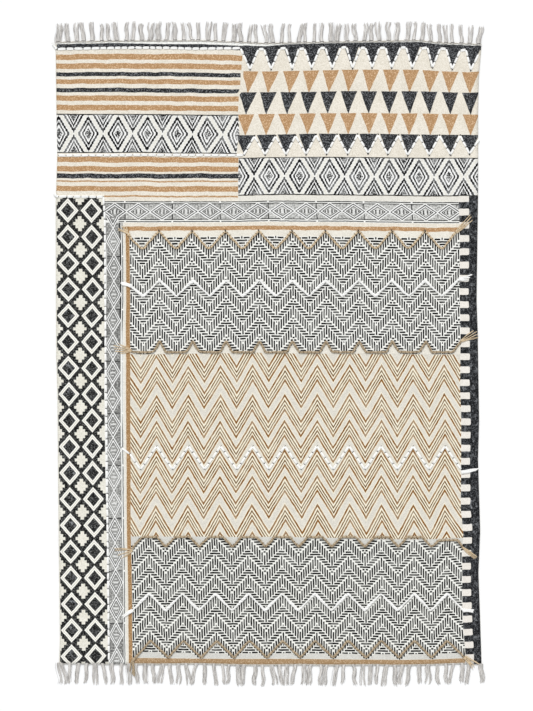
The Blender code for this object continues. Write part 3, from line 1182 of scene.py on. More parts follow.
def comb_inks(x, y):
    to_gap = from_line(y - TOOTH_FIRST + TOOTH_PITCH / 2, TOOTH_PITCH)
    gap_half = TOOTH_PITCH / 2 - TOOTH_HALF
    corner_x = reckon("MAXIMUM", x - (COMB_BAND - GAP_CORNER), 0.0)
    corner_y = reckon("MAXIMUM", to_gap - (gap_half - GAP_CORNER), 0.0)
    gap = below(reckon("SQRT", corner_x * corner_x + corner_y * corner_y), GAP_CORNER)
    comb_foot = TOOTH_FIRST - TOOTH_PITCH * COMB_TEETH - TOOTH_HALF
    beyond = either(above(y, TOOTH_FIRST + TOOTH_HALF), below(y, comb_foot))
    bare = either(gap, both(beyond, below(x, COMB_BAND)))
    ink = both(outside(bare), below(y, COMB_TOP))
    rubbed = patchy(x, y * COMB_WEAR_SQUASH, COMB_WEAR)
    return [(BLACK_INK, ink), (WORN_INK, ink * rubbed)]


Panel = namedtuple("Panel", "name left right bottom top inks ground")
PANELS = [
    Panel("printed_comb", COMB_LEFT, PRINT_RIGHT, PRINT_BOTTOM, HEAD_FOOT, comb_inks,
          COMB_CREAM),
    Panel("printed_steps", PRINT_LEFT, BORDER_LINE, PRINT_BOTTOM, STEPS_TOP, step_inks,
          STEP_CREAM),
    Panel("printed_lozenges_left", BORDER_LINE, LOZENGE_INSIDE, PRINT_BOTTOM,
          LOZENGES_BOTTOM, lozenge_inks(LOZENGES_LEFT_BAND, True),
          COOL_CREAM),
    Panel("printed_lozenges_top", BORDER_LINE, COMB_LEFT, LOZENGES_BOTTOM, LOZENGES_TOP,
          lozenge_inks(LOZENGES_TOP_BAND, False), COOL_CREAM),
    Panel("printed_herringbone_upper", FRAME_INSIDE, COMB_LEFT, CHEVRONS_TOP, FIELD_TOP,
          herringbone_inks(HERRINGBONE_UPPER), HEAD_CREAM),
    Panel("printed_chevrons", FRAME_INSIDE, COMB_LEFT, CHEVRONS_BOTTOM, CHEVRONS_TOP,
          chevron_inks, GREY_CREAM),
    Panel("printed_herringbone_lower", FRAME_INSIDE, COMB_LEFT, FIELD_BOTTOM,
          CHEVRONS_BOTTOM, herringbone_inks(HERRINGBONE_LOWER), FOOT_CREAM),
    Panel("printed_frame", LOZENGE_INSIDE, COMB_LEFT, PRINT_BOTTOM, LOZENGES_BOTTOM,
          frame_inks, CREAM),
    Panel("printed_diamonds_left", PRINT_LEFT, HEAD_SPLIT, DIAMONDS_BOTTOM, DIAMONDS_TOP,
          diamond_inks(DIAMONDS_LEFT), PALE_CREAM),
    Panel("printed_stripes", PRINT_LEFT, HEAD_SPLIT, LOZENGES_TOP, PRINT_TOP, stripe_inks,
          CREAM),
    Panel("printed_diamonds_right", HEAD_SPLIT, PRINT_RIGHT, LOZENGES_TOP,
          HEAD_RIGHT_BASE, diamond_inks(DIAMONDS_RIGHT), PALE_CREAM),
    Panel("printed_triangles", HEAD_SPLIT, PRINT_RIGHT, HEAD_RIGHT_BASE, PRINT_TOP,
          triangle_inks, CREAM),
]


def stations(lines, step):
    """Every line, with even steps between them."""
    ordered = sorted(set(lines))
    places = []
    for low, high in zip(ordered, ordered[1:]):
        parts = max(1, math.ceil((high - low) / step))
        places += [low + (high - low) * part / parts for part in range(parts)]
    return places + [ordered[-1]]


def drift(y, line):
    """How far one of the drawing's upright lines has moved, at a height."""
    return table_value(DRIFTS, y, Drift._fields.index(line))


def sag(x, level):
    """How far one of its level lines has sunk, at a place across."""
    return table_value(SAGS, x, Sag._fields.index(level))


def stray(x, y, reach, layer):
    """Smooth noise about nought over this reach."""
    return noise.noise(Vector((x / reach, y / reach, layer)))


def wandered(x, y):
    """Where a point of the drawing lies on the real cloth, in millimetres."""
    past_split = HEAD_SPLIT + SPLIT_REACH
    lines = [
        (PRINT_LEFT, -table_value(LEFT_SIDE, y)),
        (BORDER_LINE, BORDER_LINE + drift(y, "border")),
        (FRAME_INSIDE, FRAME_INSIDE + drift(y, "frame")),
        (HEAD_SPLIT, HEAD_SPLIT + drift(y, "split")),
        (past_split, past_split + calm_split(y)),
        (COMB_LEFT, COMB_LEFT + drift(y, "comb")),
        (PRINT_RIGHT, table_value(RIGHT_SIDE, y)),
    ]
    real_x = table_value(lines, x)
    levels = [
        (PRINT_TOP, table_value(TOP_END, real_x)),
        (SAG_HEAD, SAG_HEAD + sag(x, "head")),
        (SAG_FOOT, SAG_FOOT + sag(x, "foot")),
        (SAG_BOTTOM, SAG_BOTTOM + sag(x, "bottom")),
        (PRINT_BOTTOM, -table_value(BOTTOM_END, real_x)),
    ]
    real_y = table_value(levels, y)
    pull_x, pull_y = pulled(real_x, real_y)
    real_x += pull_x
    real_y += pull_y
    edge = min(x - PRINT_LEFT, PRINT_RIGHT - x, y - PRINT_BOTTOM, PRINT_TOP - y)
    calm = min(1.0, edge / WAVER_EDGE) * WAVER
    real_x += calm * stray(x, y, WAVER_REACH, WAVER_LAYER_X)
    real_y += calm * stray(x, y, WAVER_REACH, WAVER_LAYER_Y)
    return real_x, real_y


def calm_split(y):
    """The split's drift, evened out over a stretch of the rug."""
    parts = range(-SPLIT_SAMPLES, SPLIT_SAMPLES + 1)
    drifts = [drift(y + SPLIT_SPAN * part / SPLIT_SAMPLES, "split") for part in parts]
    return sum(drifts) / len(drifts)


def pulled(x, y):
    """How far the cloth was pulled at a place, in millimetres."""
    rights, ups = [], []
    for pull in PULLS:
        rights.append((pull.along, table_value(list(zip(PULL_PLACES, pull.right)), x)))
        ups.append((pull.along, table_value(list(zip(PULL_PLACES, pull.up)), x)))
    return table_value(rights, y), table_value(ups, y)


def cloth_rise(x, y):
    """How high the cloth's face lies over its flat height, in millimetres."""
    return RIPPLE * (0.5 + 0.5 * stray(x, y, RIPPLE_REACH, RIPPLE_LAYER))


def face_height(x, y):
    return CLOTH_THICKNESS + cloth_rise(x, y)


def panel_at(x, y):
    for index, panel in enumerate(PANELS):
        if panel.left <= x <= panel.right and panel.bottom <= y <= panel.top:
            return index
    return len(PANELS) - 1


def deselect():
    for item in bpy.context.view_layer.objects:
        item.select_set(False)


def make_active(item):
    deselect()
    item.select_set(True)
    bpy.context.view_layer.objects.active = item


def link(name, data):
    item = bpy.data.objects.new(name, data)
    bpy.context.scene.collection.objects.link(item)
    return item


def make_cloth(origin):
    """The printed cloth as one thick sheet."""
    across = [place for panel in PANELS for place in (panel.left, panel.right)]
    along = [place for panel in PANELS for place in (panel.bottom, panel.top)]
    columns = stations(across + [HEAD_SPLIT + SPLIT_REACH], CELL_SIZE)
    rows = stations(along, CELL_SIZE)
    mesh = bmesh.new()
    printed = mesh.loops.layers.uv.new("print")
    grid = [[mesh.verts.new(cloth_point(x, y, origin)) for x in columns] for y in rows]
    for j in range(len(rows) - 1):
        for i in range(len(columns) - 1):
            corners = [(i, j), (i + 1, j), (i + 1, j + 1), (i, j + 1)]
            face = mesh.faces.new([grid[b][a] for a, b in corners])
            middle_x = (columns[i] + columns[i + 1]) / 2
            middle_y = (rows[j] + rows[j + 1]) / 2
            face.material_index = panel_at(middle_x, middle_y)
            face.smooth = True
            for loop, (a, b) in zip(face.loops, corners):
                loop[printed].uv = (columns[a] * MM, rows[b] * MM)
    data = bpy.data.meshes.new("printed_cloth")
    mesh.to_mesh(data)
    mesh.free()
    cloth = link("printed_cloth", data)
    for panel in PANELS:
        data.materials.append(cloth_material(panel))
    thicken(cloth)
    finish_underside(cloth)
    return cloth


def cloth_point(x, y, origin):
    """Where a point of the drawing lies in the frame, in metres."""
    real_x, real_y = wandered(x, y)
    return Vector((real_x, real_y, face_height(real_x, real_y))) * MM + origin


def thicken(cloth):
    modifier = cloth.modifiers.new("thickness", "SOLIDIFY")
    modifier.thickness = CLOTH_THICKNESS * MM
    modifier.offset = -1.0
    make_active(cloth)
    bpy.ops.object.modifier_apply(modifier=modifier.name)


def finish_underside(cloth):
    """Gives the back and the rim plain weave, and packs the map that a bake uses."""
    data = cloth.data
    back = len(data.materials)
    data.materials.append(back_material())
    bake = data.uv_layers.new(name="OFBake")
    low = Vector((min(v.co.x for v in data.vertices), min(v.co.y for v in data.vertices)))
    high = Vector((max(v.co.x for v in data.vertices), max(v.co.y for v in data.vertices)))
    for face in data.polygons:
        upper = face.normal.z > UPWARD
        if not upper:
            face.material_index = back
        for corner in face.loop_indices:
            place = data.vertices[data.loops[corner].vertex_index].co
            u = (place.x - low.x) / (high.x - low.x)
            v = (place.y - low.y) / (high.y - low.y)
            if upper:
                bake.data[corner].uv = (u, BAKE_SLIVER + v * (1 - BAKE_SLIVER))
            else:
                bake.data[corner].uv = (u, v * BAKE_SLIVER * SLIVER_FILL)
    data.uv_layers.active = data.uv_layers["OFBake"]


# The underside's long slubs, which run with the warp
BACK_ROUGHNESS = 0.97
SLUBS = Mottle(4.0, 2.0, 1.0)
SLUB_STRETCH = 0.08
SLUB_SHARE = 0.7
BACK_CLOUDS = Mottle(80.0)
BACK_RAMP = Ramp(0.35, 0.65)


def back_material():
    """Plain undyed weave."""
    material, tree, shader = new_material("woven_back", BACK_ROUGHNESS)
    x, y = print_place(tree)
    slubs = mottle(x, y * SLUB_STRETCH, SLUBS)
    colour = two_tone(BACK_CREAM, slubs, mottle(x, y, BACK_CLOUDS), SLUB_SHARE, BACK_RAMP)
    finish_shader(tree, shader, colour, weave_height(x, y), WEAVE_DEPTH)
    return material


def lock_plan(fringe):
    """Each lock's root, tip, length and bow, as in the solids, in millimetres."""
    draw = random.Random(fringe.seed)
    pitch = (fringe.last - fringe.first) / (fringe.locks - 1)
    apart = LOCK_TIP_WIDTH + LOCK_CLEARANCE
    plan = []
    tip_before = -math.inf
    for index in range(fringe.locks):
        root = fringe.first + pitch * index
        if 0 < index < fringe.locks - 1:
            root += draw.uniform(-LOCK_UNEVEN, LOCK_UNEVEN) * pitch
        lean = draw.uniform(-1, 1) * LOCK_LEAN
        tip = max(root + lean, tip_before + apart)
        length = fringe.length + draw.uniform(-LOCK_RAGGED, LOCK_RAGGED)
        bow = draw.uniform(-1, 1) * LOCK_BOW
        plan.append((root, tip, length, bow))
        tip_before = tip
    return plan


def end_stations(fringe):
    half = LOCK_ROOT_WIDTH / 2
    return [root + side for root, _, _, _ in lock_plan(fringe) for side in (-half, half)]


def end_out(fringe, across):
    return fringe.side * table_value(fringe.end_table, across)


def rug_origin():
    """Where the drawing's own middle lies in the frame, worked out from the cloth's solid."""
    low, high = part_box("rug_cloth")
    top = FRINGES[0]
    reach = max(end_out(top, across) for across in end_stations(top))
    left = max(side.out for side in LEFT_SIDE)
    return Vector((low.x + left * MM, high.y - reach * MM, 0.0))


def shares(count):
    """Even steps from 0 to 1, both ends included."""
    return [step / (count - 1) for step in range(count)]


def tube_piece(name, strands, material, origin, sides_step=0):
    """Round yarns as one mesh. A strand is a list of (x, y, z, radius) in millimetres."""
    curve = bpy.data.curves.new(name, "CURVE")
    curve.dimensions = "3D"
    curve.bevel_depth = 1.0
    curve.bevel_resolution = sides_step
    curve.use_fill_caps = True
    for strand in strands:
        spline = curve.splines.new("POLY")
        spline.points.add(len(strand) - 1)
        for point, (x, y, z, radius) in zip(spline.points, strand):
            point.co = (x * MM + origin.x, y * MM + origin.y, z * MM, 1.0)
            point.radius = radius * MM
        spline.use_smooth = True
    curve.materials.append(material)
    item = link(name, curve)
    make_active(item)
    bpy.ops.object.convert(target="MESH")
    return bpy.context.object


def join_pieces(pieces):
    deselect()
    for piece in pieces:
        piece.select_set(True)
    bpy.context.view_layer.objects.active = pieces[0]
    bpy.ops.object.join()
    return pieces[0]


# A spun yarn's look: its two tones, and its streaks' size and how they are drawn out
Finish = namedtuple("Finish", "name tone streak drawn")
FINISHES = {
    "warp": Finish("warp_cotton", WARP_GREY, 3.0, 0.12),
    # The darker warp of each lock's outer strands and hairs is painted shade
    "warp_edge_painted_shade": Finish("warp_shaded", WARP_PAINTED_SHADE, 3.0, 0.12),
    "hem": Finish("hem_cotton", HEM_CREAM, 2.4, 1.0),
    "jute": Finish("jute_tan", JUTE_TAN, 4.0, 1.0),
    "dim_jute": Finish("jute_brown", JUTE_BROWN, 4.0, 1.0),
    "twine": Finish("brown_twine", TWINE_BROWN, 3.0, 1.0),
    # Painted knot shadow at the lock roots
    "knot": Finish("knot_shade", KNOT_PAINTED_SHADOW, 3.0, 1.0),
    "wool": Finish("white_wool", YARN_WHITE, 4.0, 1.0),
    "running": Finish("white_cotton_yarn", YARN_WHITE, 4.0, 1.0),
    "thread": Finish("dark_thread", THREAD_GREY, 2.0, 1.0),
}
YARN_ROUGHNESS = 0.95
YARN_FUZZ = Mottle(0.9, 2.0, 4.0)
FUZZ_DEPTH = 0.3 * MM
STREAK_SHARE = 0.65
YARN_RAMP = Ramp(0.36, 0.64)


def yarn_material(finish):
    """Spun yarn: streaks of two tones along it and a fine fuzz."""
    material, tree, shader = new_material(finish.name, YARN_ROUGHNESS)
    place = tree.nodes.new("ShaderNodeTexCoord")
    x, y = in_millimetres(tree, place.outputs["Object"])
    streaks = mottle(x, y * finish.drawn, Mottle(finish.streak))
    fuzz = mottle(x, y, YARN_FUZZ)
    colour = two_tone(finish.tone, streaks, fuzz, STREAK_SHARE, YARN_RAMP)
    finish_shader(tree, shader, colour, fuzz, FUZZ_DEPTH)
    return material


# A lock's yarns and the fine hairs among them
LOCK_STRANDS = 11
STRAND_RADIUS = 0.95
STRAND_STATIONS = 9
LOCK_HAIRS = 4
HAIR_RADIUS = 0.35
HAIR_SPREAD = 1.9
# How a lock differs from its plain shape: sideways, in its lean and in its fullness
LOCK_WANDER = 4.0
LOCK_CROSSING = 8.0
LOCK_SWAY = 2.4
LOCK_FULLNESS = (0.65, 1.15)
LOCK_SPLAY = 8.5
SPLAY_POWER = 0.8
FORKED_SHARE = 0.35
FORK_GAP = 2.6
# How a strand differs from its lock, and how it thins, curls and sinks to its tip
STRAND_RAGGED = (-5.0, 3.0)
STRAND_STRAY = 1.8
STRAND_CURL = 1.1
STRAND_CURL_RATE = 11.0
STRAND_TAPER = 0.35
LOW_STRAND = 1.5
HIGH_STRAND = 3.0
ROOT_OVER = -2.6
ROOT_RISE = 3.2
ROOT_RISE_RATE = 5.0
TIP_SINK = 0.6


def lock_strands(fringe, lock, draw, corner):
    """The warp yarns of one lock, fanned out from its root and frayed at the tips."""
    root, tip, length, bow = lock
    forked = draw.random() < FORKED_SHARE
    sway = draw.uniform(-LOCK_SWAY, LOCK_SWAY)
    if corner:
        shift, lean, fullness = corner
    else:
        fullness = draw.uniform(*LOCK_FULLNESS)
        shift = draw.uniform(-LOCK_WANDER, LOCK_WANDER)
        lean = draw.uniform(-LOCK_CROSSING, LOCK_CROSSING)
    start = end_out(fringe, root + shift)
    strands = []
    for index in range(LOCK_STRANDS + LOCK_HAIRS):
        hair = index >= LOCK_STRANDS
        if hair:
            place = draw.uniform(-0.5, 0.5) * HAIR_SPREAD
        else:
            place = index / (LOCK_STRANDS - 1) - 0.5
        thickness = HAIR_RADIUS if hair else STRAND_RADIUS
        reach = length + draw.uniform(*STRAND_RAGGED)
        aside = place * LOCK_SPLAY * fullness + draw.uniform(-STRAND_STRAY, STRAND_STRAY)
        if forked:
            aside += math.copysign(FORK_GAP, place)
        lift = LOW_STRAND if index % 2 else HIGH_STRAND
        phase = draw.uniform(0, 2 * math.pi)
        strand = []
        for share in shares(STRAND_STATIONS):
            centre = root + shift + (tip - root + lean) * share
            centre += bow * math.sin(math.pi * share) + sway * math.sin(2 * math.pi * share)
            gather = LOCK_ROOT_WIDTH * fullness * place * (1 - share)
            curl = STRAND_CURL * math.sin(phase + share * STRAND_CURL_RATE) * share
            x = centre + gather + aside * share ** SPLAY_POWER + curl
            y = start + fringe.side * (ROOT_OVER + (reach - ROOT_OVER) * share)
            radius = thickness * (1.0 - STRAND_TAPER * share ** 3)
            root_lift = ROOT_RISE * max(0.0, 1.0 - share * ROOT_RISE_RATE)
            z = max(radius, lift + root_lift - TIP_SINK * share)
            strand.append((x, y, z, radius))
        strands.append(strand)
    return strands, root + shift


# The turn of yarn round a lock's root, dark grey as a painted shadow of its knot
TURN_STATIONS = 7
TURN_REACH = LOCK_ROOT_WIDTH * 0.62
TURN_OUT = 2.0
TURN_BULGE = 0.8
TURN_FOOT = 4.4
TURN_RISE = 3.2
TURN_RADIUS = 0.8


def lock_knot_shadow(fringe, root):
    """A turn of yarn round a lock at its root, coloured dark grey: a painted shadow of the knot."""
    start = end_out(fringe, root)
    turn = []
    for share in shares(TURN_STATIONS):
        angle = math.pi * share
        x = root - math.cos(angle) * TURN_REACH
        y = start + fringe.side * (TURN_OUT - TURN_BULGE * math.sin(angle))
        turn.append((x, y, TURN_FOOT + math.sin(angle) * TURN_RISE, TURN_RADIUS))
    return [turn]


# The pair of yarns twined along the cloth's end, and how far it runs past the locks
HEM_CORD_RADIUS = 1.1
HEM_CORD_TUCK = 1.2
HEM_CORD_RISE = 4.6
HEM_CORD_PAST = 10.0
HEM_CORD_STEP = 3.0
HEM_CORD_TWIST = 7.0


def hem_cord(fringe):
    """A pair of yarns twined along the cloth's end."""
    ends = [fringe.first - HEM_CORD_PAST, fringe.last + HEM_CORD_PAST]
    cords = []
    for phase in (0.0, math.pi):
        cord = []
        for across in stations(ends, HEM_CORD_STEP):
            angle = phase + across / HEM_CORD_TWIST
            y = end_out(fringe, across) + fringe.side * (math.cos(angle) - HEM_CORD_TUCK)
            cord.append((across, y, HEM_CORD_RISE + math.sin(angle), HEM_CORD_RADIUS))
        cords.append(cord)
    return cords


# Keeps the chance of a fringe's strands apart from that of its plan
STRAND_SEED = 100


def make_fringe(fringe, origin, finishes):
    draw = random.Random(fringe.seed + STRAND_SEED)
    locks, painted_shade_strands, knots = [], [], []
    corners = {0: fringe.left_corner, fringe.locks - 1: fringe.right_corner}
    for index, lock in enumerate(lock_plan(fringe)):
        strands, root = lock_strands(fringe, lock, draw, corners.get(index))
        # Each lock's two outer strands and its hairs take the darker warp: painted shade
        painted_shade_strands += [strands[0], strands[LOCK_STRANDS - 1]] + strands[LOCK_STRANDS:]
        locks += strands[1:LOCK_STRANDS - 1]
        # Only the top fringe gets a dark turn at each root, a painted knot shadow
        if fringe.side > 0:
            knots += lock_knot_shadow(fringe, root)
    pieces = [
        tube_piece(fringe.name, locks, finishes["warp"], origin),
        tube_piece(fringe.name + "_edges", painted_shade_strands, finishes["warp_edge_painted_shade"], origin),
    ]
    if knots:
        cord = hem_cord(fringe)
        pieces.append(tube_piece(fringe.name + "_cord", cord, finishes["hem"], origin))
        pieces.append(tube_piece(fringe.name + "_knots", knots, finishes["knot"], origin))
    return join_pieces(pieces)


# A zigzag yarn turns at its low and high points, a pitch apart. flat is how much
# of the pitch runs level at the high points, dip the same at the low ones, and
# lean is how far the high points lie off the middle.
Zigzag = namedtuple("Zigzag", "first pitch turns low high flat dip lean")
# A loose end: strands from a root to their tips, which are listed from the strands'
# right to their left, how wide they leave the root, and their finish
Brush = namedtuple("Brush", "root tips wide radius finish")
Yarn = namedtuple("Yarn", "name solid kind head zigzag tail brushes")
# Where two rows of stitches turn, point by point
TOP_ARCHES = [
    (-596, 860.9), (-475.4, 863.4), (-376.4, 864.8), (-277.3, 864.3), (-215.1, 862),
    (-77.8, 863.4), (-50.9, 803.5), (-26.9, 860.3), (-11.3, 860.6), (8.5, 804.1), (34, 862.6),
    (50.9, 863.4), (67.9, 804.7), (87.7, 860.9), (103.3, 862.3), (123.1, 806.4), (147.2, 864),
    (162.7, 863.7), (181.1, 806.6), (206.6, 864.6), (222.2, 866.3), (239.1, 807.2),
    (261.2, 863.4), (275.9, 864.6), (294.3, 808.6), (315.5, 863.7), (332.5, 864.6),
    (349.5, 808.1), (375, 864.6), (390.5, 865.7), (407.5, 808.1), (433, 861.7), (450.8, 865.4),
    (465.5, 809.2), (486.8, 861.7), (503.7, 861.7), (520.7, 804.4), (543.4, 856.6),
    (560.3, 858.9), (573.1, 801.8), (595.7, 846.2),
]
BAND_POINTS = [
    (-592.9, 560.1), (-339.6, 562), (-90.6, 560.9), (-69.3, 561.2), (-38.2, 614.5),
    (-8.5, 562), (21.2, 614.5), (50.9, 562), (77.8, 615.6), (107.5, 563.5), (135.8, 617.9),
    (165.6, 564), (195.3, 618.8), (225, 564), (253.3, 619.3), (283, 566.3), (311.3, 618.5),
    (338.2, 564), (369.3, 617.1), (394.8, 560.6), (427.3, 615.6), (455.6, 561.5),
    (485.3, 616.2), (516.5, 562), (543.4, 616.2), (570.2, 564.6), (597.1, 606.9),
]
YARNS = [
    Yarn("jute_upper_crest", "yarn_upper_crest", "jute",
         [(-394, 337), (-384, 322)],
         Zigzag(-355.7, 94.1, 10, 298, 347, 0.0, 0.1, 0.0),
         [(532, 345)],
         [Brush((-392, 335), [(-423, 350), (-423, 355), (-416, 359), (-408, 360), (-401, 357)],
                7.0, 1.5, "jute"),
          Brush((533, 343), [(579, 377), (576, 386), (571, 392)], 5.5, 1.35, "jute")]),
    Yarn("jute_upper_foot", "yarn_upper_foot", "dim_jute",
         [(-388, 10)],
         Zigzag(-353.5, 94.1, 10, 4.0, 35, 0.0, 0.62, 0.0),
         [(546, 36)],
         [Brush((-386, 8), [(-427, 29), (-437, 24), (-436, 14), (-432, 5), (-418, 0)],
                5.0, 1.05, "jute"),
          Brush((545, 35), [(594, 46), (596, 54), (590, 62), (581, 65)], 4.0, 1.05, "jute")]),
    Yarn("jute_lower_crest", "yarn_lower_crest", "dim_jute",
         [(-383, -552)],
         Zigzag(-382.0, 93.8, 10, -547, -519, 0.45, 0.0, 0.0),
         [(485, -528), (538, -528), (552, -550)],
         [Brush((-384, -556), [(-437, -551), (-433, -556), (-425, -571), (-416, -581), (-404, -576)],
                5.0, 1.0, "jute"),
          Brush((551, -549), [(583, -581), (588, -580), (591, -577), (590, -572)],
                4.0, 1.15, "jute")]),
    Yarn("jute_lower_foot", "yarn_lower_foot", "dim_jute",
         [(-383, -876), (-381, -868)],
         Zigzag(-375.0, 93.2, 11, -860, -812, 0.0, 0.0, -4.0),
         [(566, -868)],
         [Brush((-382, -864), [(-392, -900), (-383, -908), (-379, -914), (-377, -912)],
                4.5, 1.2, "dim_jute"),
          Brush((556, -859), [(572, -880), (579, -889), (583, -884), (590, -873), (598, -878)],
                7.0, 1.75, "jute")]),
    Yarn("wool_upper_middle", "yarn_upper_middle", "wool",
         [(-395, 197), (-387, 189)],
         Zigzag(-352.9, 93.8, 10, 162, 207, 0.0, 0.0, 0.0),
         [(541, 211)],
         [Brush((-388, 192), [(-414, 202), (-418, 199), (-414, 196)], 5.0, 2.2, "wool"),
          Brush((540, 210), [(566, 208), (571, 215), (577, 223)], 4.5, 1.9, "wool")]),
    Yarn("stitches_chevron_middle", "yarn_chevron_middle", "running",
         [(-415, -266), (-391, -284)],
         Zigzag(-360.5, 90.7, 11, -328, -262, 0.0, 0.0, 0.0),
         [],
         [Brush((546, -336), [(588, -330), (592, -328), (594, -325)], 5.0, 2.3, "running")]),
    Yarn("wool_lower_middle", "yarn_lower_middle", "wool",
         [(-396, -733)],
         Zigzag(-383.0, 93.7, 11, -727, -679, 0.0, 0.0, 0.0),
         [(562, -726)],
         [Brush((-384, -726), [(-411, -741), (-412, -744), (-410, -747)], 4.0, 2.4, "wool"),
          Brush((552, -726), [(581, -730), (582, -727), (582, -724)], 5.0, 2.6, "wool")]),
    Yarn("stitches_top_arches", "yarn_top_arches", "running",
         TOP_ARCHES,
         None,
         [],
         [Brush((-598, 862), [(-611, 882), (-612, 878)], 2.0, 1.5, "running")]),
    Yarn("stitches_band_points", "yarn_band_points", "running",
         BAND_POINTS,
         None,
         [],
         []),
    Yarn("stitches_border_line", "yarn_border_line", "running",
         [(-592, 444), (-466, 443), (-461.5, 380), (-459.5, 0), (-454.5, -440), (-450, -868)],
         None,
         [],
         [Brush((-594, 443), [(-607, 456), (-608, 452)], 2.0, 1.5, "running")]),
]
# A laid yarn: its plies' radius, the length of their twist, how far apart it is held
# down, how much its thickness swings, and the reach, height and finish of the threads
# that hold it
Lay = namedtuple("Lay", "ply twist pitch swing reach height thread")
LAYS = {
    "jute": Lay(1.6, 13.0, 11.0, 0.12, 3.4, 5.5, "twine"),
    "dim_jute": Lay(1.8, 13.0, 11.0, 0.12, 3.4, 5.5, "twine"),
    "wool": Lay(1.9, 34.0, 20.5, 0.32, 3.5, 4.9, "wool"),
}
PLIES = 3
LAID_STEP = 1.8
CORNER_PASSES = 3
ROUTE_WOBBLE = 1.8
WOBBLE_REACH = 14.0
# How the plies dent where they are held, swell in between and lie flattened
HELD_DENT = 0.18
HELD_SHARPNESS = 6
SWELL_START = 6
SWELL_RATE = 1.3
PLY_FLATTEN = 0.6
PLY_LIFT = 1.45
THREAD_RADIUS = 0.7
THREAD_STATIONS = 6
THREAD_SLANT = 1.0
# The puffed stitches of a row and the dark thread between them
STITCH_PITCH = 22.0
STITCH_GAP = 2.2
STITCH_STATIONS = 9
STITCH_JITTER = 0.12
STITCH_SKEW = 0.6
STITCH_HALF = 1.7
STITCH_SIDES = 1
PUFF_POWER = 0.22
PUFF_RADIUS = 1.1
PUFF_SWELL = 0.95
PUFF_SINK = 0.8
PUFF_RISE = 2.4
LEVEL_SLOPE = 0.3
SLOPED_SIZE = 0.8
LEVEL_TICK = 1.5
SLOPED_TICK = 3.2
TICK_LEAN = 0.8
TICK_LEAN_REACH = 3
TICK_LIFT = 0.3
# Dark knots of thread, as points off their own middle with a radius each
TURN_DOT = [(-1.1, -0.8, 0.0, 1.5), (1.2, 0.9, 0.0, 1.3)]
TURN_DOT_OUT = 2.4
TURN_DOT_LIFT = 0.9
PEAK_KNOT = [(-1.2, 3.5, 0.0, 1.3), (0.0, 0.0, 0.4, 1.9), (1.6, -3.2, 0.0, 1.2)]
PEAK_KNOT_LIFT = 4.2
# The loose strands of an end, which stray, curl, thin and sink toward their tips
BRUSH_STATIONS = 7
BRUSH_STRAY = 1.5
BRUSH_CURL = 0.7
BRUSH_CURL_RATE = 7.0
BRUSH_TAPER = 0.45
BRUSH_LIFT = 1.4


def zigzag_route(zigzag):
    route = []
    for turn in range(zigzag.turns):
        low = zigzag.first + zigzag.pitch * turn
        high = low + zigzag.pitch / 2 + zigzag.lean
        route += level_turn(low, zigzag.low, zigzag.pitch * zigzag.dip / 2)
        if turn < zigzag.turns - 1:
            route += level_turn(high, zigzag.high, zigzag.pitch * zigzag.flat / 2)
    return route


def level_turn(across, along, half):
    """One turning point, or the two ends of its level stretch."""
    if half == 0:
        return [(across, along)]
    return [(across - half, along), (across + half, along)]


def whole_route(yarn):
    middle = zigzag_route(yarn.zigzag) if yarn.zigzag else []
    return list(yarn.head) + middle + list(yarn.tail)


def fine_route(route, step):
    """Evenly spaced points along a route, with its corners a little rounded."""
    points = []
    for (x1, y1), (x2, y2) in zip(route, route[1:]):
        parts = max(1, round(math.hypot(x2 - x1, y2 - y1) / step))
        points += [
            (x1 + (x2 - x1) * part / parts, y1 + (y2 - y1) * part / parts)
            for part in range(parts)
        ]
    points.append(route[-1])
    for _ in range(CORNER_PASSES):
        inner = [
            ((a[0] + b[0] + c[0]) / 3, (a[1] + b[1] + c[1]) / 3)
            for a, b, c in zip(points, points[1:], points[2:])
        ]
        points = [points[0]] + inner + [points[-1]]
    return points


def side_ways(points):
    """The sideways direction at each point of a route in plan."""
    sides = []
    for index in range(len(points)):
        before = points[max(0, index - 1)]
        after = points[min(len(points) - 1, index + 1)]
        length = math.hypot(after[0] - before[0], after[1] - before[1]) or 1.0
        sides.append(((before[1] - after[1]) / length, (after[0] - before[0]) / length))
    return sides


def wobbled(points, seed):
    """A route that strays a little, as a yarn laid by hand does."""
    strayed = []
    for (x, y), (side_x, side_y) in zip(points, side_ways(points)):
        aside = stray(x, y, WOBBLE_REACH, seed) * ROUTE_WOBBLE
        strayed.append((x + side_x * aside, y + side_y * aside))
    return strayed


def laid_strands(points, lay, draw):
    """A plied yarn that lies on the cloth, held down at every pitch."""
    strands = [[] for _ in range(PLIES)]
    run = 0.0
    swell = draw.uniform(0, SWELL_START)
    for index, ((x, y), (side_x, side_y)) in enumerate(zip(points, side_ways(points))):
        if index:
            run += math.hypot(x - points[index - 1][0], y - points[index - 1][1])
        hold = abs(((run / lay.pitch) % 1.0) - 0.5) * 2
        plump = 1.0 - HELD_DENT * hold ** HELD_SHARPNESS
        plump += lay.swing * math.sin(swell + run / lay.pitch * SWELL_RATE)
        for ply, strand in enumerate(strands):
            angle = 2 * math.pi * (run / lay.twist + ply / PLIES)
            aside = math.cos(angle) * lay.ply * plump
            height = math.sin(angle) * lay.ply * PLY_FLATTEN * plump
            z = face_height(x, y) + lay.ply * PLY_LIFT + height
            strand.append((x + side_x * aside, y + side_y * aside, z, lay.ply * plump))
    return strands


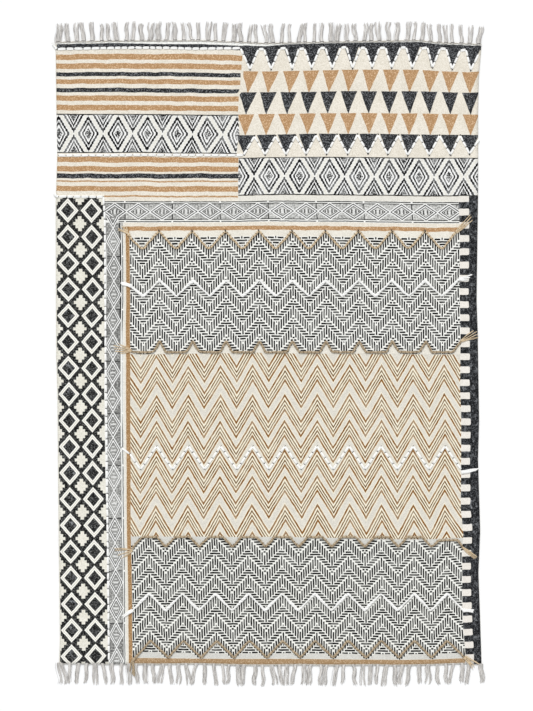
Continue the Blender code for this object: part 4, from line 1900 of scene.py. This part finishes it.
def couching(points, lay, draw):
    """Short threads over a laid yarn that hold it to the cloth."""
    sides = side_ways(points)
    threads = []
    run = lay.pitch / 2
    for index in range(1, len(points)):
        (x0, y0), (x, y) = points[index - 1], points[index]
        run += math.hypot(x - x0, y - y0)
        if run < lay.pitch:
            continue
        run -= lay.pitch
        side_x, side_y = sides[index]
        slant = draw.uniform(-THREAD_SLANT, THREAD_SLANT)
        thread = []
        for share in shares(THREAD_STATIONS):
            angle = math.pi * share
            aside = -math.cos(angle) * lay.reach
            place_x = x + side_x * aside - side_y * slant * math.cos(angle)
            place_y = y + side_y * aside + side_x * slant * math.cos(angle)
            z = face_height(x, y) + math.sin(angle) * lay.height
            thread.append((place_x, place_y, z, THREAD_RADIUS))
        threads.append(thread)
    return threads


def brush_strands(brush, draw):
    """The loose strands of a yarn's end, which part toward their tips."""
    root_x, root_y = brush.root
    count = len(brush.tips)
    strands = []
    for index, (tip_x, tip_y) in enumerate(brush.tips):
        run_x, run_y = tip_x - root_x, tip_y - root_y
        length = math.hypot(run_x, run_y)
        side_x, side_y = -run_y / length, run_x / length
        place = (index - (count - 1) / 2) / max(1, count - 1)
        for twin in (-0.5, 0.5):
            offset = (place + twin / count) * brush.wide
            end_x = tip_x + draw.uniform(-BRUSH_STRAY, BRUSH_STRAY)
            end_y = tip_y + draw.uniform(-BRUSH_STRAY, BRUSH_STRAY)
            phase = draw.uniform(0, 2 * math.pi)
            strand = []
            for share in shares(BRUSH_STATIONS):
                curl = BRUSH_CURL * math.sin(phase + share * BRUSH_CURL_RATE)
                hug = (1 - share) * offset + curl
                x = root_x + (end_x - root_x) * share + side_x * hug
                y = root_y + (end_y - root_y) * share + side_y * hug
                radius = brush.radius * (1.0 - BRUSH_TAPER * share ** 2)
                lift = BRUSH_LIFT * (1 - share) * (1 + twin)
                strand.append((x, y, CLOTH_THICKNESS + RIPPLE + radius + lift, radius))
            strands.append(strand)
    return strands


def placed(shape, x, y, z):
    """A small shape's points, moved to a place."""
    return [(x + dx, y + dy, z + dz, radius) for dx, dy, dz, radius in shape]


def peak_knots(zigzag):
    """The dark ends of sewing thread at a zigzag's high points."""
    knots = []
    for turn in range(zigzag.turns - 1):
        x = zigzag.first + zigzag.pitch * (turn + 0.5) + zigzag.lean
        z = face_height(x, zigzag.high) + PEAK_KNOT_LIFT
        knots.append(placed(PEAK_KNOT, x, zigzag.high, z))
    return knots


# A straight leg of a stitched row: its start, its direction and its stitches' size
Leg = namedtuple("Leg", "x y run_x run_y size")


def on_leg(leg, along, aside=0.0):
    """The place this far along a leg and to its left."""
    x = leg.x + leg.run_x * along - leg.run_y * aside
    y = leg.y + leg.run_y * along + leg.run_x * aside
    return x, y


def puffed_stitch(leg, start, stop, skew):
    """Two strands side by side that swell in the middle."""
    strands = []
    for side in (-1, 1):
        strand = []
        for share in shares(STITCH_STATIONS):
            body = math.sin(math.pi * share) ** PUFF_POWER
            aside = side * STITCH_HALF * leg.size * (0.5 + 0.5 * body)
            aside += skew * (share - 0.5) * 2
            x, y = on_leg(leg, start + (stop - start) * share, aside)
            z = face_height(x, y) - PUFF_SINK + PUFF_RISE * body
            strand.append((x, y, z, (PUFF_RADIUS + PUFF_SWELL * body) * leg.size))
        strands.append(strand)
    return strands


def tick(leg, along, half, lean):
    """The dark thread across a row, where one stitch ends and the next starts."""
    x, y = on_leg(leg, along)
    z = face_height(x, y) + TICK_LIFT
    points = []
    for aside in (-half, 0.0, half):
        slant = leg.run_x * lean * aside / TICK_LEAN_REACH
        points.append((x - leg.run_y * aside + slant, y + leg.run_x * aside, z, THREAD_RADIUS))
    return points


def running_stitches(route, draw):
    """Separate puffed stitches along a route, and the dark thread between them."""
    stitches, ticks = [], []
    for (x1, y1), (x2, y2) in zip(route, route[1:]):
        length = math.hypot(x2 - x1, y2 - y1)
        count = max(1, round(length / STITCH_PITCH))
        pitch = length / count
        run_x, run_y = (x2 - x1) / length, (y2 - y1) / length
        level = abs(run_y) < LEVEL_SLOPE
        leg = Leg(x1, y1, run_x, run_y, 1.0 if level else SLOPED_SIZE)
        tick_half = LEVEL_TICK if level and y1 < ARCH_TIP else SLOPED_TICK
        bounds = [pitch * index for index in range(count + 1)]
        for index in range(1, count):
            bounds[index] += draw.uniform(-STITCH_JITTER, STITCH_JITTER) * pitch
        for low, high in zip(bounds, bounds[1:]):
            skew = draw.uniform(-STITCH_SKEW, STITCH_SKEW)
            stitches += puffed_stitch(leg, low + STITCH_GAP / 2, high - STITCH_GAP / 2, skew)
            ticks.append(tick(leg, low, tick_half, draw.uniform(-TICK_LEAN, TICK_LEAN)))
    return stitches, ticks


def turn_dots(route):
    """The dark ends of thread outside a row's sharp turns."""
    dots = []
    for (x1, y1), (x2, y2), (x3, y3) in zip(route, route[1:], route[2:]):
        if (x2 - x1) * (x3 - x2) + (y2 - y1) * (y3 - y2) >= 0:
            continue
        y = y2 + math.copysign(TURN_DOT_OUT, y2 - y1)
        dots.append(placed(TURN_DOT, x2, y, face_height(x2, y) + TURN_DOT_LIFT))
    return dots


def make_yarn(yarn, origin, finishes):
    draw = random.Random(yarn.name)
    route = whole_route(yarn)
    ends = [
        tube_piece(f"{yarn.name}_end_{index}", brush_strands(brush, draw),
                   finishes[brush.finish], origin)
        for index, brush in enumerate(yarn.brushes)
    ]
    if yarn.kind == "running":
        stitches, ticks = running_stitches(route, draw)
        if not yarn.zigzag:
            ticks += turn_dots(route)
        pieces = [
            tube_piece(yarn.name, stitches, finishes["running"], origin, STITCH_SIDES),
            tube_piece(yarn.name + "_ticks", ticks, finishes["thread"], origin),
        ]
        return join_pieces(pieces + ends)
    lay = LAYS[yarn.kind]
    points = wobbled(fine_route(route, LAID_STEP), len(yarn.name))
    body = laid_strands(points, lay, draw)
    threads = couching(points, lay, draw)
    pieces = [
        tube_piece(yarn.name, body, finishes[yarn.kind], origin),
        tube_piece(yarn.name + "_couching", threads, finishes[lay.thread], origin),
    ]
    if yarn.kind == "jute":
        knots = peak_knots(yarn.zigzag)
        pieces.append(tube_piece(yarn.name + "_knots", knots, finishes["thread"], origin))
    return join_pieces(pieces + ends)


# The photo's scale, its own middle and the rug's middle on it, in its pixels
MM_A_PIXEL = 2.83
PHOTO_LENGTH = 711
PHOTO_MIDDLE_X, PHOTO_MIDDLE_Y = 266.5, 355.5
RUG_MIDDLE_X, RUG_MIDDLE_Y = 268.0, 353.5
CAMERA_HEIGHT = 9.0
VIEW_LENGTH = PHOTO_LENGTH * MM_A_PIXEL
VIEW_CENTRE_X = (PHOTO_MIDDLE_X - RUG_MIDDLE_X) * MM_A_PIXEL
VIEW_CENTRE_Y = (RUG_MIDDLE_Y - PHOTO_MIDDLE_Y) * MM_A_PIXEL
SENSOR = 36.0


def make_camera(origin):
    data = bpy.data.cameras.new("camera")
    data.sensor_width = SENSOR
    data.lens = SENSOR * CAMERA_HEIGHT / (VIEW_LENGTH * MM)
    camera = link("camera", data)
    camera.location = origin + Vector((VIEW_CENTRE_X * MM, VIEW_CENTRE_Y * MM, 0.0))
    camera.location.z = CAMERA_HEIGHT
    bpy.context.scene.camera = camera


FLOOR_SIZE = 60.0
FLOOR_WHITE = (0.97, 0.97, 0.97, 1.0)
FLOOR_ROUGHNESS = 0.9
SKY_WHITE = (0.97, 0.985, 1.0, 1.0)
SKY_STRENGTH = 0.69
KEY_POWER = 1.67
KEY_SOFTNESS = math.radians(15)
KEY_TURN = (math.radians(-42), math.radians(-14), 0.0)


def make_floor():
    bpy.ops.mesh.primitive_plane_add(size=FLOOR_SIZE, location=(0, 0, 0))
    floor = bpy.context.object
    floor.name = "studio_floor"
    material, _, shader = new_material("studio_white", FLOOR_ROUGHNESS)
    shader.inputs["Base Color"].default_value = FLOOR_WHITE
    floor.data.materials.append(material)
    return floor


def make_light():
    world = bpy.data.worlds.new("studio")
    bpy.context.scene.world = world
    world.use_nodes = True
    background = world.node_tree.nodes["Background"]
    background.inputs["Color"].default_value = SKY_WHITE
    background.inputs["Strength"].default_value = SKY_STRENGTH
    data = bpy.data.lights.new("soft_key", "SUN")
    data.energy = KEY_POWER
    data.angle = KEY_SOFTNESS
    link("soft_key", data).rotation_euler = KEY_TURN
    bpy.context.scene.view_settings.view_transform = "Standard"


def declare(piece, solid):
    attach(piece, "root")
    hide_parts(solid)


def main():
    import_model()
    deselect()
    origin = rug_origin()
    make_camera(origin)
    cloth = make_cloth(origin)
    declare(cloth, "rug_cloth")
    finishes = {kind: yarn_material(finish) for kind, finish in FINISHES.items()}
    for fringe in FRINGES:
        piece = make_fringe(fringe, origin, finishes)
        declare(piece, fringe.solid)
    for yarn in YARNS:
        piece = make_yarn(yarn, origin, finishes)
        declare(piece, yarn.solid)
    floor = make_floor()
    make_light()


main()
